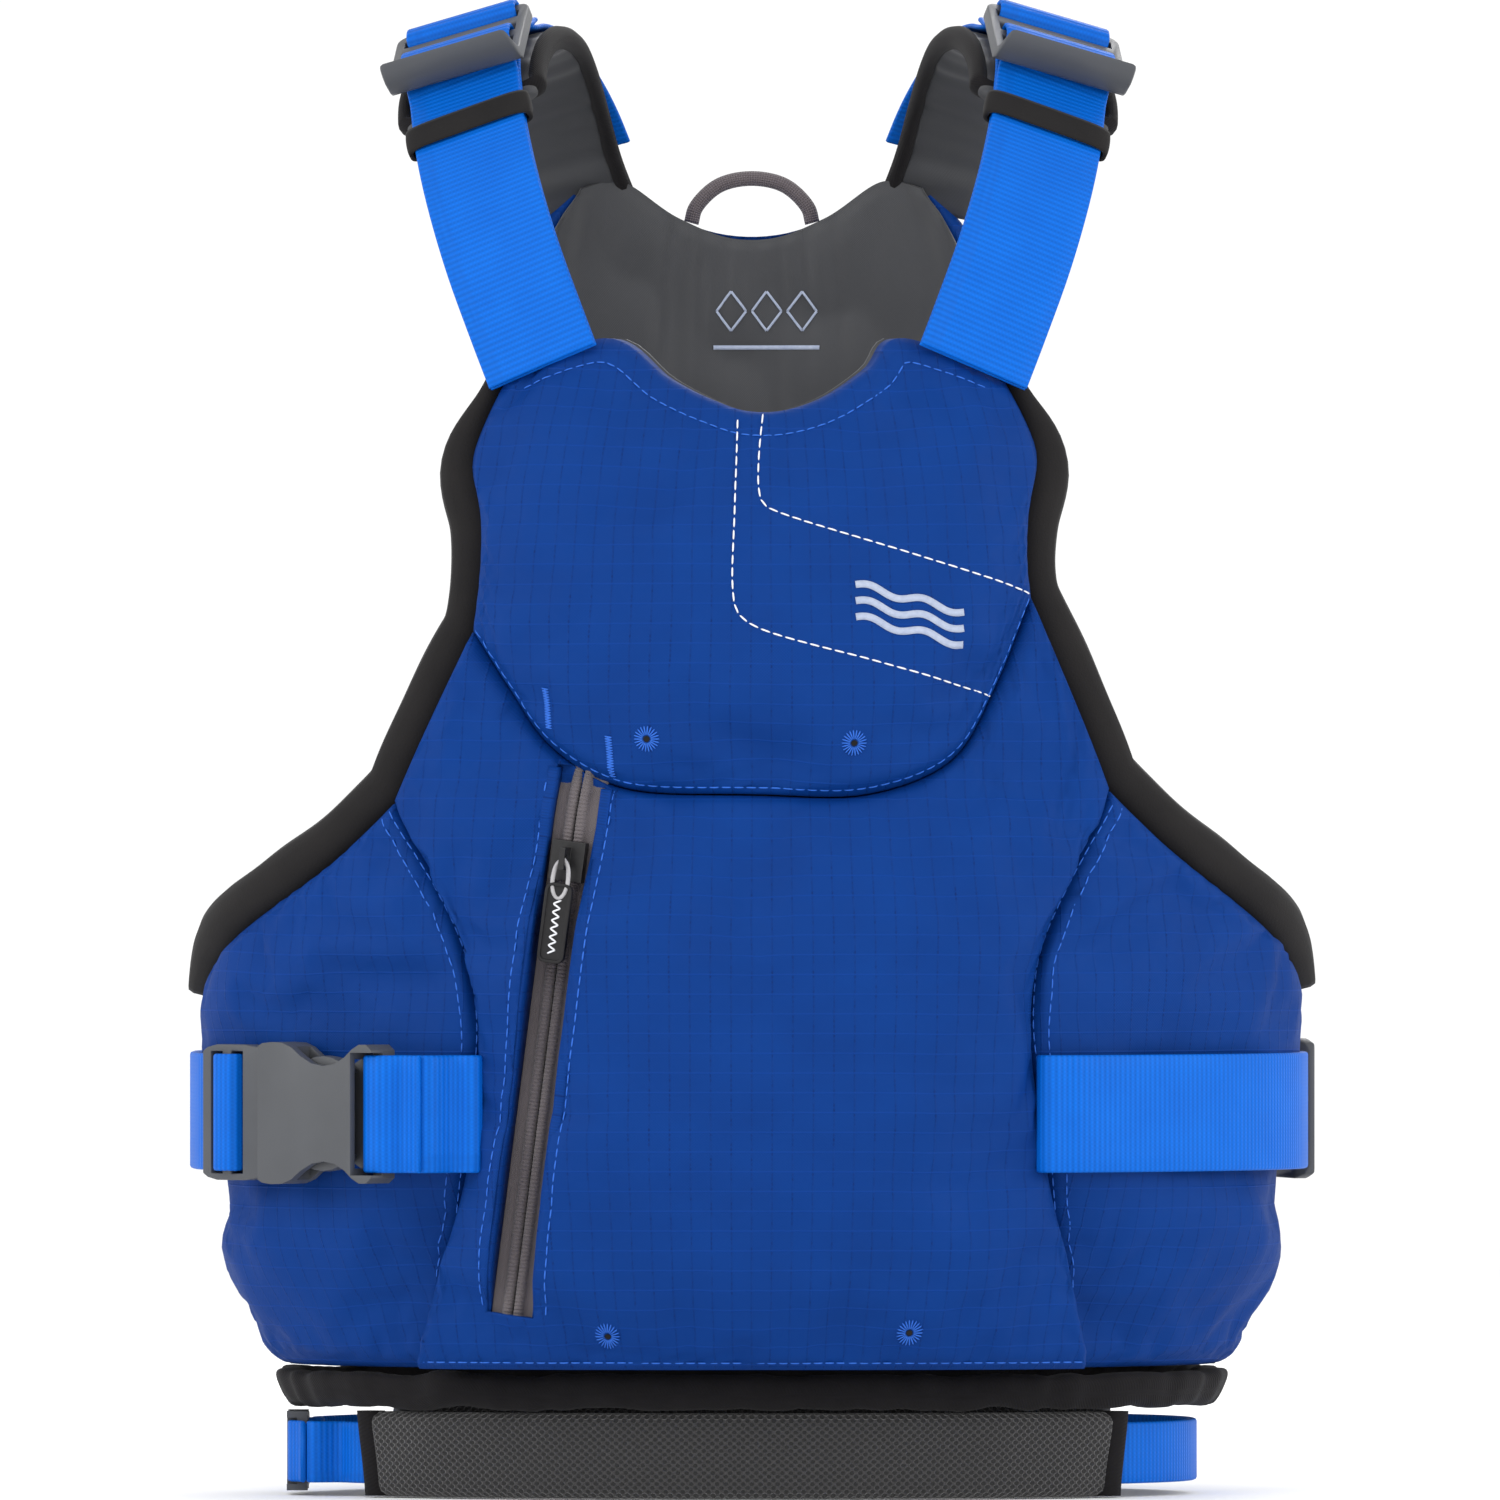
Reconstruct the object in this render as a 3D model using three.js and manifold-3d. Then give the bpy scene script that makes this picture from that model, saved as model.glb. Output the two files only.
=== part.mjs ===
// A paddling buoyancy vest: foam panels in ripstop covers, webbing, buckles, a pocket zip and a waist belt.
// Millimetres, +Z up, -Y the wearer's front, origin on the floor under the middle of the vest.
// "right" and "left" are the wearer's, so right is -X.
import * as THREE from 'three';
import { mergeVertices } from 'three/addons/utils/BufferGeometryUtils.js';
import Module from 'manifold-3d';

const wasm = await Module();
wasm.setup();

// ---------------------------------------------------------------- driving dimensions

const CHEST_WIDTH = 326;        // across the wearer's chest, inside the lining
const CHEST_DEPTH = 176;        // front to back, inside the lining
const FORM_POWER = 0.86;        // 1 is an ellipse, less is boxier
const CLEARANCE = 0.4;          // between pieces that touch
const FABRIC = 1.2;             // covers and linings
const SEAM_INSET = 0.8;         // from a seam's line to the cover on each side of it
const FOAM_EASE = 3;            // from a cover's side walls to its foam
const FOAM_ROOM = 0.8;          // from a cover's outer wall to its foam
const FOAM_FRONT = 27;          // cover height above the lining at the front seams
const CROWN_FRONT = 8;          // how far the front panels swell past that
const FOAM_BACK = 21.5;
const CROWN_BACK = 9;
const WING_EDGE = 17;           // thickness of a side wing at its outer edge
const WEB = 38;                 // webbing width
const WEB_THICK = 1.8;
const WAIST_HEIGHT = 125;       // centre of the waist webbing
const BELT_HEIGHT = 42;         // waist belt pad, standing on the floor
const BELT_THICK = 6;
const PAD_WIDTH = 50;           // shoulder pads
const PAD_THICK = 7;
const ZIP_OPENING = 14.5;       // width of tape that shows
const CORD = 5;                 // hanging loop

// ---------------------------------------------------------------- materials

const material = (color, roughness = 0.8, metalness = 0) =>
  new THREE.MeshStandardMaterial({ color, roughness, metalness });
const ripstop = material('#1747a6', 0.7);
const webbing = material('#0a78f0', 0.55);
const lining = material('#4a4b4d', 0.8);
const neoprene = material('#1b1a19', 0.9);
const spacerMesh = material('#3b3a3a', 0.9);
const foam = material('#d9d6cc', 0.95);
const acetal = material('#5d5f60', 0.45);
const zipTape = material('#5f5a5a', 0.8);
const rubber = material('#161616', 0.6);
const braid = material('#6d6567', 0.85);

// ---------------------------------------------------------------- solids

function toSolid(geometry) {
  const bare = geometry.clone();
  bare.deleteAttribute('normal');
  bare.deleteAttribute('uv');
  const merged = mergeVertices(bare, 1e-4);
  return new wasm.Manifold(new wasm.Mesh({
    numProp: 3,
    vertProperties: merged.attributes.position.array,
    triVerts: new Uint32Array(merged.index.array),
  }));
}

function toGeometry(solid) {
  const { vertProperties, triVerts } = solid.getMesh();
  const geometry = new THREE.BufferGeometry();
  geometry.setAttribute('position', new THREE.BufferAttribute(vertProperties, 3));
  geometry.setIndex(new THREE.BufferAttribute(triVerts, 1));
  geometry.computeVertexNormals();
  return geometry;
}

const cut = (body, ...tools) =>
  toGeometry(tools.reduce((solid, tool) => solid.subtract(toSolid(tool)), toSolid(body)));
const join = (body, ...others) =>
  toGeometry(others.reduce((solid, other) => solid.add(toSolid(other)), toSolid(body)));

// A box of that size whose lowest corner is at (x, y, z).
const block = (x, y, z, width, depth, height) =>
  new THREE.BoxGeometry(width, depth, height).translate(x + width / 2, y + depth / 2, z + height / 2);

// Moves each vertex of a geometry to where place([x, y, z]) puts it.
function warp(geometry, place) {
  const position = geometry.attributes.position;
  for (let i = 0; i < position.count; i++) {
    position.setXYZ(i, ...place([position.getX(i), position.getY(i), position.getZ(i)]));
  }
  geometry.computeVertexNormals();
  return geometry;
}

// ---------------------------------------------------------------- the wearer's form

// A smooth function of height through [height, value] knots.
function against(knots) {
  return (height) => {
    const last = knots.length - 1;
    const i = Math.min(Math.max(knots.findIndex(([h]) => h > height) - 1, 0), last - 1);
    const at = height >= knots[last][0] ? last - 1 : i;
    const [[h0, v0], [h1, v1]] = [knots[at], knots[at + 1]];
    const t = THREE.MathUtils.clamp((height - h0) / (h1 - h0), 0, 1);
    return THREE.MathUtils.lerp(v0, v1, t * t * (3 - 2 * t) * 0.5 + t * 0.5);
  };
}

// Shares of the chest's half width and half depth against height.
const widthShare = against([[0, 0.86], [30, 0.88], [50, 0.93], [80, 0.965], [130, 0.99], [180, 1],
  [240, 0.985], [310, 0.95], [370, 0.9], [440, 0.83], [500, 0.76]]);
const depthShare = against([[0, 0.9], [30, 0.92], [70, 0.96], [130, 0.98], [230, 1], [310, 0.995], [370, 0.95],
  [440, 0.88], [500, 0.8]]);
const halfWidth = (z) => (CHEST_WIDTH / 2) * widthShare(z);
const halfDepth = (z) => (CHEST_DEPTH / 2) * depthShare(z);
const bow = (t) => Math.sign(t) * Math.abs(t) ** FORM_POWER;

// The point at an angle round the form (0 is the front, 90 the wearer's left), a height, and a distance out.
function onForm(degrees, z, out) {
  const angle = THREE.MathUtils.degToRad(degrees);
  return [
    (halfWidth(z) + out) * bow(Math.sin(angle)),
    -(halfDepth(z) + out) * bow(Math.cos(angle)),
    z,
  ];
}

// The angle at which something that far out stands at x when it is seen from the front.
function angleAt(x, z, out) {
  const share = Math.min(Math.abs(x) / (halfWidth(z) + out), 1);
  return Math.sign(x) * THREE.MathUtils.radToDeg(Math.asin(share ** (1 / FORM_POWER)));
}
const front = ([x, z]) => [angleAt(x, z, FOAM_FRONT), z];
const back = ([x, z]) => [180 - angleAt(x, z, FOAM_BACK), z];

// The outward direction in plan, in degrees from -Y towards +X.
function facing(degrees, z, out) {
  const [x0, y0] = onForm(degrees - 1, z, out);
  const [x1, y1] = onForm(degrees + 1, z, out);
  return THREE.MathUtils.radToDeg(Math.atan2(y1 - y0, x1 - x0));
}

// ---------------------------------------------------------------- sewn panels

// A curve through [angle, height] points.
function through(points) {
  const curve = new THREE.SplineCurve(points.map(([a, z]) => new THREE.Vector2(a, z)));
  return (t) => curve.getPoint(t).toArray();
}

// Curves one after another, each over its own number of equal shares of the whole.
function inTurn(...parts) {
  const total = parts.reduce((sum, [, shares]) => sum + shares, 0);
  return (t) => {
    let left = t * total;
    for (const [curve, shares] of parts.slice(0, -1)) {
      if (left <= shares) return curve(left / shares);
      left -= shares;
    }
    const [curve, shares] = parts.at(-1);
    return curve(left / shares);
  };
}

const backwards = (curve) => (t) => curve(1 - t);

// A four-sided sheet between its edges: (u, v) gives [angle, height].
function between({ bottom, top, right, left }) {
  const corners = [bottom(0), bottom(1), top(0), top(1)];
  return (u, v) => [0, 1].map((k) =>
    (1 - v) * bottom(u)[k] + v * top(u)[k] + (1 - u) * right(v)[k] + u * left(v)[k]
    - (1 - u) * (1 - v) * corners[0][k] - u * (1 - v) * corners[1][k]
    - (1 - u) * v * corners[2][k] - u * v * corners[3][k]);
}

const swell = (t) => 1 - Math.abs(2 * t - 1) ** 6;

// Rows lie closer together near the top and bottom edges, where a panel curves over.
const spread = (t) => (1 - Math.cos(Math.PI * t)) / 2;
const unspread = (t) => Math.acos(1 - 2 * t) / Math.PI;

// A slab of a sheet from one distance out to another, drawn in by inset at its edges.
function slab(sheet, { columns, rows, inner, outer, inset = 0 }) {
  const distance = (a, b) => new THREE.Vector3(...onForm(...sheet(...a), 0))
    .distanceTo(new THREE.Vector3(...onForm(...sheet(...b), 0)));
  const drawAcross = (inset / distance([0, 0.5], [1, 0.5])) * columns;
  const firstRow = distance([0.5, 0], [0.5, spread(1 / rows)]);
  const drawUp = inset / firstRow;
  const nodes = Array.from({ length: columns + 1 }, (_, i) =>
    Array.from({ length: rows + 1 }, (_, j) => sheet(i / columns, spread(j / rows))));
  const drawn = (i, j) => {
    const across = THREE.MathUtils.clamp(i, drawAcross, columns - drawAcross);
    const up = THREE.MathUtils.clamp(j, drawUp, rows - drawUp);
    const [i0, j0] = [Math.min(Math.floor(across), columns - 1), Math.min(Math.floor(up), rows - 1)];
    return [0, 1].map((k) => THREE.MathUtils.lerp(
      THREE.MathUtils.lerp(nodes[i0][j0][k], nodes[i0 + 1][j0][k], across - i0),
      THREE.MathUtils.lerp(nodes[i0][j0 + 1][k], nodes[i0 + 1][j0 + 1][k], across - i0), up - j0));
  };
  return warp(new THREE.BoxGeometry(1, 1, 1, columns, rows, 1), ([x, y, z]) => {
    const [u, v] = [x + 0.5, spread(y + 0.5)];
    const [angle, height] = drawn((x + 0.5) * columns, (y + 0.5) * rows);
    return onForm(angle, height, z < 0 ? inner(u, v) : outer(u, v));
  });
}

// A foam panel: an open-backed cover that hugs it on five sides, and the foam in it.
function foamPanel(sheet, grid, outer, room = FOAM_ROOM) {
  const skin = { ...grid, inner: () => FABRIC + CLEARANCE, outer, inset: SEAM_INSET };
  const hollow = {
    ...grid,
    inner: () => -5,
    outer: (u, v) => outer(u, v) - FABRIC,
    inset: SEAM_INSET + FABRIC,
  };
  const core = {
    ...grid,
    inner: () => FABRIC + CLEARANCE,
    outer: (u, v) => outer(u, v) - FABRIC - room,
    inset: SEAM_INSET + FABRIC + FOAM_EASE,
  };
  return { cover: cut(slab(sheet, skin), slab(sheet, hollow)), core: slab(sheet, core) };
}

// ---------------------------------------------------------------- straps

// A ribbon along a curve of 3-D points. It has two facets from each point to the next, or, over only a
// span of the curve, so many even steps.
function ribbon(points, { across, width, thickness, span, steps = 2 * points.length - 2 }) {
  const curve = new THREE.CatmullRomCurve3(points.map((p) => new THREE.Vector3(...p)), false, 'centripetal');
  return warp(new THREE.BoxGeometry(1, 1, 1, 1, steps, 1), ([x, y, z]) => {
    const t = span ? THREE.MathUtils.lerp(...span, y + 0.5) : y + 0.5;
    const { at, side, normal } = frameOn(curve, across, span ? t : shareAlong(curve, t));
    return at.addScaledVector(side, x * width).addScaledVector(normal, z * thickness).toArray();
  });
}

// The share of a curve's length at a share of its points.
function shareAlong(curve, t) {
  const lengths = curve.getLengths();
  const at = t * (lengths.length - 1);
  const i = Math.min(Math.floor(at), lengths.length - 2);
  return THREE.MathUtils.lerp(lengths[i], lengths[i + 1], at - i) / lengths.at(-1);
}

// Where a curve is at a share of its length, its width direction and the direction it faces.
function frameOn(curve, across, share) {
  const along = curve.getTangentAt(share);
  const side = new THREE.Vector3(...across);
  side.addScaledVector(along, -side.dot(along)).normalize();
  return { at: curve.getPointAt(share), along, side, normal: new THREE.Vector3().crossVectors(side, along) };
}

// ---------------------------------------------------------------- assembly helpers

const vest = new THREE.Group();

function piece(name, geometry, look, parent = vest) {
  const mesh = new THREE.Mesh(geometry, look);
  mesh.name = name;
  parent.add(mesh);
  return mesh;
}

// ---------------------------------------------------------------- front panels

// Seams as they are seen from the front, [x, z].
const chestSeam = [[-92, 281], [-80, 262], [-66, 243], [-42, 230], [0, 228], [38, 228], [66, 239],
  [80, 262], [92, 292]];
const HEM = BELT_HEIGHT;        // foot of the panels
const wingSeamRight = [[-110, HEM], [-102, 75], [-93, 108], [-89, 134], [-88, 157], [-92, 178],
  [-102, 200], [-118, 226]];
const wingSeamLeft = [[110, HEM], [104, 75], [96, 111], [91, 140], [90, 160], [93, 180], [103, 203],
  [118, 230]];
const hem = [[-110, HEM], [0, HEM], [110, HEM]];
const neckline = [[-87, 364], [-52, 376], [-30, 363], [-14, 356], [4, 352], [24, 356], [42, 366],
  [54, 376], [89, 364]];
const chestSideRight = [[-92, 281], [-90, 300], [-91, 318], [-96, 338], [-87, 364]];
const chestSideLeft = [[92, 292], [91, 305], [93, 320], [98, 340], [89, 364]];
const SIDE_ANGLE = 86;          // where the wings end and the side mesh starts
const wingTopRight = [...[[-118, 226], [-139, 208], [-160, 194]].map(front), [-72, 178], [-SIDE_ANGLE, 162]];
const wingTopLeft = [...[[118, 230], [139, 212], [160, 197]].map(front), [72, 180], [SIDE_ANGLE, 164]];


// Facets along each seam, so that the panels on both sides of it meet.
const SEAM_FACETS = 12;
const SHOULDER_FACETS = 2;
const WING_FACETS = 8;
const WING_TOP_FACETS = 6;
const CHEST_FACETS = 6;
const curves = {
  chestSeam: through(chestSeam.map(front)),
  right: {
    seam: through(wingSeamRight.map(front)),
    shoulder: through([wingSeamRight.at(-1), chestSeam[0]].map(front)),
    chest: through(chestSideRight.map(front)),
    wingTop: through(wingTopRight),
  },
  left: {
    seam: through(wingSeamLeft.map(front)),
    shoulder: through([wingSeamLeft.at(-1), chestSeam.at(-1)].map(front)),
    chest: through(chestSideLeft.map(front)),
    wingTop: through(wingTopLeft),
  },
};
const frontSide = ({ seam, shoulder }) => (v) =>
  inTurn([(t) => seam(spread(t)), WING_FACETS], [shoulder, SHOULDER_FACETS])(unspread(v));
const frontSheet = between({
  bottom: through(hem.map(front)),
  top: curves.chestSeam,
  right: frontSide(curves.right),
  left: frontSide(curves.left),
});
const chestSheet = between({
  bottom: curves.chestSeam,
  top: through(neckline.map(front)),
  right: curves.right.chest,
  left: curves.left.chest,
});
const wingSheetRight = between({
  bottom: through([[-SIDE_ANGLE, HEM], [-60, HEM], front(hem[0])]),
  top: backwards(curves.right.wingTop),
  right: through([[-SIDE_ANGLE, HEM], [-SIDE_ANGLE, 100], [-SIDE_ANGLE, 162]]),
  left: curves.right.seam,
});
const wingSheetLeft = between({
  bottom: through([front(hem.at(-1)), [60, HEM], [SIDE_ANGLE, HEM]]),
  top: curves.left.wingTop,
  right: curves.left.seam,
  left: through([[SIDE_ANGLE, HEM], [SIDE_ANGLE, 100], [SIDE_ANGLE, 164]]),
});

const frontOuter = (u, v) => FOAM_FRONT + CROWN_FRONT * swell(u) * swell(v);
const chestOuter = (u, v) => THREE.MathUtils.lerp(FOAM_FRONT, 15, v * v)
  + CROWN_FRONT * swell(u) * swell(v);
const WING_CROWN = 3;
const STRAP_DENT = 5.5;         // how far the waist webbing presses into a wing
const wingOuter = (edge) => (u, v) => {
  const toEdge = edge < 0 ? 1 - u : u;
  const hemTaper = THREE.MathUtils.lerp(0.45, 1, THREE.MathUtils.smoothstep(v, 0, 0.35));
  const strapped = STRAP_DENT * Math.exp(-(((v - 0.5) / 0.22) ** 2)) * THREE.MathUtils.smoothstep(toEdge, 0, 0.4);
  return THREE.MathUtils.lerp(FOAM_FRONT, WING_EDGE, toEdge) * hemTaper + WING_CROWN * swell(u) * swell(v)
    - strapped;
};

const pocket = foamPanel(frontSheet,
  { columns: SEAM_FACETS, rows: WING_FACETS + SHOULDER_FACETS }, frontOuter, FOAM_EASE);
const chest = foamPanel(chestSheet, { columns: SEAM_FACETS, rows: CHEST_FACETS }, chestOuter);
const wingRight = foamPanel(wingSheetRight, { columns: WING_TOP_FACETS, rows: WING_FACETS }, wingOuter(-1));
const wingLeft = foamPanel(wingSheetLeft, { columns: WING_TOP_FACETS, rows: WING_FACETS }, wingOuter(1));

// The pocket zip: its line is straight, and the panel is flat enough along it.
const zipTop = new THREE.Vector3(-59, 0, 217);
const zipEnd = new THREE.Vector3(-79, 0, 60);
for (const end of [zipTop, zipEnd]) {
  const out = FOAM_FRONT + CROWN_FRONT * 0.7;
  [, end.y] = onForm(angleAt(end.x, end.z, out), end.z, out);
}
const zipLength = zipTop.distanceTo(zipEnd);
const zip = new THREE.Group();
zip.position.copy(zipTop).lerp(zipEnd, 0.5);
{
  const up = new THREE.Vector3().subVectors(zipTop, zipEnd).normalize();
  const out = new THREE.Vector3(Math.sin(THREE.MathUtils.degToRad(-14)), -Math.cos(THREE.MathUtils.degToRad(-14)), 0);
  const side = new THREE.Vector3().crossVectors(up, out).normalize();
  zip.setRotationFromMatrix(new THREE.Matrix4().makeBasis(side, up, new THREE.Vector3().crossVectors(side, up)));
}
vest.add(zip);
zip.updateMatrixWorld(true);
const TAPE_WIDTH = 8.3;
const TAPE_THICK = 1;
const SEAM_GAP = 0.15;          // from the zip's middle line to each half
const TAPE_DEPTH = 7.8;         // how far the tape lies under the crest of the cover
const CHAIN_WIDTH = 6.5;
const CHAIN_HEIGHT = 2.2;
const zipRecess = block(-TAPE_WIDTH - CLEARANCE - 1, -zipLength / 2 - 6, -TAPE_DEPTH - 3, 2 * TAPE_WIDTH + 2 * CLEARANCE + 2,
  zipLength + 12, 18).applyMatrix4(zip.matrixWorld);
const zipSlot = block(-ZIP_OPENING / 2, -zipLength / 2, -TAPE_DEPTH - 2, ZIP_OPENING, zipLength, 14)
  .applyMatrix4(zip.matrixWorld);

piece('front_cover', cut(pocket.cover, zipSlot), ripstop);
piece('front_foam', cut(pocket.core, zipRecess), foam);
piece('chest_cover', chest.cover, ripstop);
piece('chest_foam', chest.core, foam);
piece('wing_cover_right', wingRight.cover, ripstop);
piece('wing_foam_right', wingRight.core, foam);
piece('wing_cover_left', wingLeft.cover, ripstop);
piece('wing_foam_left', wingLeft.core, foam);


// ---------------------------------------------------------------- zip

for (const side of [-1, 1]) {
  const name = side < 0 ? 'right' : 'left';
  const start = side < 0 ? -TAPE_WIDTH : SEAM_GAP;
  piece(`zip_tape_${name}`, block(start, -zipLength / 2 - 3, -TAPE_DEPTH - TAPE_THICK,
    TAPE_WIDTH - SEAM_GAP, zipLength + 6, TAPE_THICK), zipTape, zip);
  const chainStart = side < 0 ? -CHAIN_WIDTH / 2 : SEAM_GAP;
  piece(`zip_chain_${name}`, block(chainStart, -zipLength / 2 + 1, CLEARANCE - TAPE_DEPTH,
    CHAIN_WIDTH / 2 - SEAM_GAP, zipLength - 2, CHAIN_HEIGHT), zipTape, zip);
}
const SLIDER_LENGTH = 13;
const sliderTop = zipLength / 2 - 4;
const chainTop = CLEARANCE - TAPE_DEPTH + CHAIN_HEIGHT;
const sliderBody = block(-5.5, sliderTop - SLIDER_LENGTH, 2 * CLEARANCE - TAPE_DEPTH, 11, SLIDER_LENGTH,
  CHAIN_HEIGHT + 2.2);
const sliderGroove = block(-CHAIN_WIDTH / 2 - CLEARANCE, sliderTop - SLIDER_LENGTH - 1, -TAPE_DEPTH,
  CHAIN_WIDTH + 2 * CLEARANCE, SLIDER_LENGTH + 2, chainTop + CLEARANCE + TAPE_DEPTH);
const pullTop = sliderTop - 5.5;
const pullHeight = chainTop + 7.5;
const eye = block(-0.9, pullTop - 3.6, chainTop + 1, 1.8, 7.2, pullHeight - chainTop + 1.6);
const eyeHole = new THREE.CylinderGeometry(1.5, 1.5, 6, 12).rotateZ(Math.PI / 2)
  .translate(0, pullTop, pullHeight);
piece('zip_slider', cut(join(cut(sliderBody, sliderGroove), eye), eyeHole), acetal, zip);

// The puller is a cord bow through the slider's eye with a rubber grip moulded over its ends.
const PULL_LENGTH = 32;
const bow3 = new THREE.CatmullRomCurve3([[-2.6, -9], [-2.6, -3], [-1.6, -0.3], [0, 0],
  [1.6, -0.3], [2.6, -3], [2.6, -9]].map(([x, y]) => new THREE.Vector3(x, y, 0)));
const circle = (radius, sides) => new THREE.Shape(Array.from({ length: sides }, (_, i) => new THREE.Vector2(
  radius * Math.cos((2 * Math.PI * i) / sides), radius * Math.sin((2 * Math.PI * i) / sides))));
const bowCord = new THREE.ExtrudeGeometry(circle(0.8, 8), { steps: 16, extrudePath: bow3 });
const grip = new THREE.Group();
grip.position.set(0, pullTop, pullHeight);
zip.add(grip);
piece('zip_pull', join(bowCord, block(-5, -8 - PULL_LENGTH, -1.5, 10, PULL_LENGTH, 3)), rubber, grip);

// ---------------------------------------------------------------- linings, sides and back

const LINING_GAP = 1.3;          // inside the form, so that it clears the facets of the panels
const layer = (sheet, columns, rows, from, to) =>
  slab(sheet, { columns, rows, inner: () => from, outer: () => to, inset: 0 });

const liningSheet = between({
  bottom: through([[-SIDE_ANGLE, HEM], [0, HEM], [SIDE_ANGLE, HEM]]),
  top: through(neckline.map(front)),
  right: through([[-SIDE_ANGLE, HEM], [-SIDE_ANGLE, 100], [-SIDE_ANGLE, 160], ...[[-139, 204], [-116, 228],
    [-95, 280], [-91, 318], [-87, 364]].map(front)]),
  left: through([[SIDE_ANGLE, HEM], [SIDE_ANGLE, 100], [SIDE_ANGLE, 162], ...[[139, 208], [116, 232],
    [95, 290], [93, 320], [89, 364]].map(front)]),
});
piece('front_lining', layer(liningSheet, 14, 9, -LINING_GAP - FABRIC, -LINING_GAP), lining);

const backSeam = [[115, 232], [50, 226], [0, 225], [-50, 226], [-115, 232]];
const backTop = [[66, 428], [50, 430], [28, 418], [0, 411], [-28, 418], [-50, 430], [-66, 428]];
const BACK_ANGLE = 118;
const lowerBackSheet = between({
  bottom: through([[BACK_ANGLE, HEM], [180, HEM], [360 - BACK_ANGLE, HEM]]),
  top: through(backSeam.map(back)),
  right: through([[BACK_ANGLE, HEM], [BACK_ANGLE, 80], [BACK_ANGLE, 120], [BACK_ANGLE + 3, 150],
    ...[[130, 190], [115, 232]].map(back)]),
  left: through([[360 - BACK_ANGLE, HEM], [360 - BACK_ANGLE, 80], [360 - BACK_ANGLE, 120],
    [357 - BACK_ANGLE, 150], ...[[-130, 190], [-115, 232]].map(back)]),
});
const backSide = [[115, 232], [100, 280], [92, 340], [84, 400], [66, 428]];
const mirrored = (points) => points.map(([x, z]) => [-x, z]);
const upperBackSheet = between({
  bottom: through(backSeam.map(back)),
  top: through(backTop.map(back)),
  right: through(backSide.map(back)),
  left: through(mirrored(backSide).map(back)),
});
const lowerBack = foamPanel(lowerBackSheet, { columns: 9, rows: 6 },
  (u, v) => FOAM_BACK + CROWN_BACK * swell(u) * swell(v));
const upperBack = foamPanel(upperBackSheet, { columns: 9, rows: 6 },
  (u, v) => THREE.MathUtils.lerp(FOAM_BACK, 12, v * v) + CROWN_BACK * swell(u) * swell(v));
piece('back_cover_lower', lowerBack.cover, ripstop);
piece('back_foam_lower', lowerBack.core, foam);
piece('back_cover_upper', upperBack.cover, ripstop);
piece('back_foam_upper', upperBack.core, foam);
const backLiningSheet = between({
  bottom: through([[BACK_ANGLE, HEM], [180, HEM], [360 - BACK_ANGLE, HEM]]),
  top: through(backTop.map(back)),
  right: through([[BACK_ANGLE, HEM], [BACK_ANGLE, 150], ...[[124, 196], ...backSide].map(back)]),
  left: through([[360 - BACK_ANGLE, HEM], [360 - BACK_ANGLE, 150],
    ...mirrored([[124, 196], ...backSide]).map(back)]),
});
piece('back_lining', layer(backLiningSheet, 12, 8, -LINING_GAP - FABRIC, -LINING_GAP), lining);

for (const side of [-1, 1]) {
  const name = side < 0 ? 'right' : 'left';
  const from = Math.min(side * (SIDE_ANGLE + 0.3), side * (BACK_ANGLE - 0.6));
  const to = Math.max(side * (SIDE_ANGLE + 0.3), side * (BACK_ANGLE - 0.6));
  const sheet = (u, v) => [THREE.MathUtils.lerp(from, to, u), THREE.MathUtils.lerp(HEM, 148, v)];
  piece(`side_mesh_${name}`, layer(sheet, 4, 4, 0, 3), spacerMesh);
}

// The black edging round each armhole stands just outside the panels' edges.
const EDGING = 9;
const EDGING_GAP = 0.6;
const MM_PER_DEGREE = 2.7;
for (const side of [-1, 1]) {
  const name = side < 0 ? 'right' : 'left';
  const { wingTop, shoulder, chest: chestSide } = curves[name];
  const facets = WING_TOP_FACETS + SHOULDER_FACETS + CHEST_FACETS;
  const seam = inTurn([backwards(wingTop), WING_TOP_FACETS], [shoulder, SHOULDER_FACETS],
    [(t) => chestSide(spread(t)), CHEST_FACETS]);
  const offset = (t, distance) => {
    const near = Math.round(t * facets);
    const [before, at, after] = [near - 1, near, near + 1].map((i) =>
      seam(THREE.MathUtils.clamp(i / facets, 0, 1)));
    const run = new THREE.Vector2((after[0] - before[0]) * MM_PER_DEGREE, after[1] - before[1]).normalize();
    return [at[0] + (side * run.y * distance) / MM_PER_DEGREE, at[1] - side * run.x * distance];
  };
  const sheet = (u, v) => {
    const share = side < 0 ? 1 - u : u;
    return offset(unspread(v), EDGING_GAP + EDGING * share);
  };
  piece(`armhole_edging_${name}`, layer(sheet, 1, facets, 0.4, 8), neoprene);
}


// ---------------------------------------------------------------- webbing hardware

// A flat plate of a 2-D outline with holes, from z = 0 up.
function plate(outline, thickness, holes = []) {
  const shape = new THREE.Shape(outline.map(([x, y]) => new THREE.Vector2(x, y)));
  shape.holes = holes.map((hole) => new THREE.Path(hole.map(([x, y]) => new THREE.Vector2(x, y))));
  return new THREE.ExtrudeGeometry(shape, { depth: thickness, bevelEnabled: false });
}
const rectangle = (x0, x1, y0, y1) => [[x0, y0], [x1, y0], [x1, y1], [x0, y1]];
const chamfered = (x0, x1, y0, y1, c) => [[x0 + c, y0], [x1 - c, y0], [x1, y0 + c], [x1, y1 - c],
  [x1 - c, y1], [x0 + c, y1], [x0, y1 - c], [x0, y0 + c]];

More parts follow.
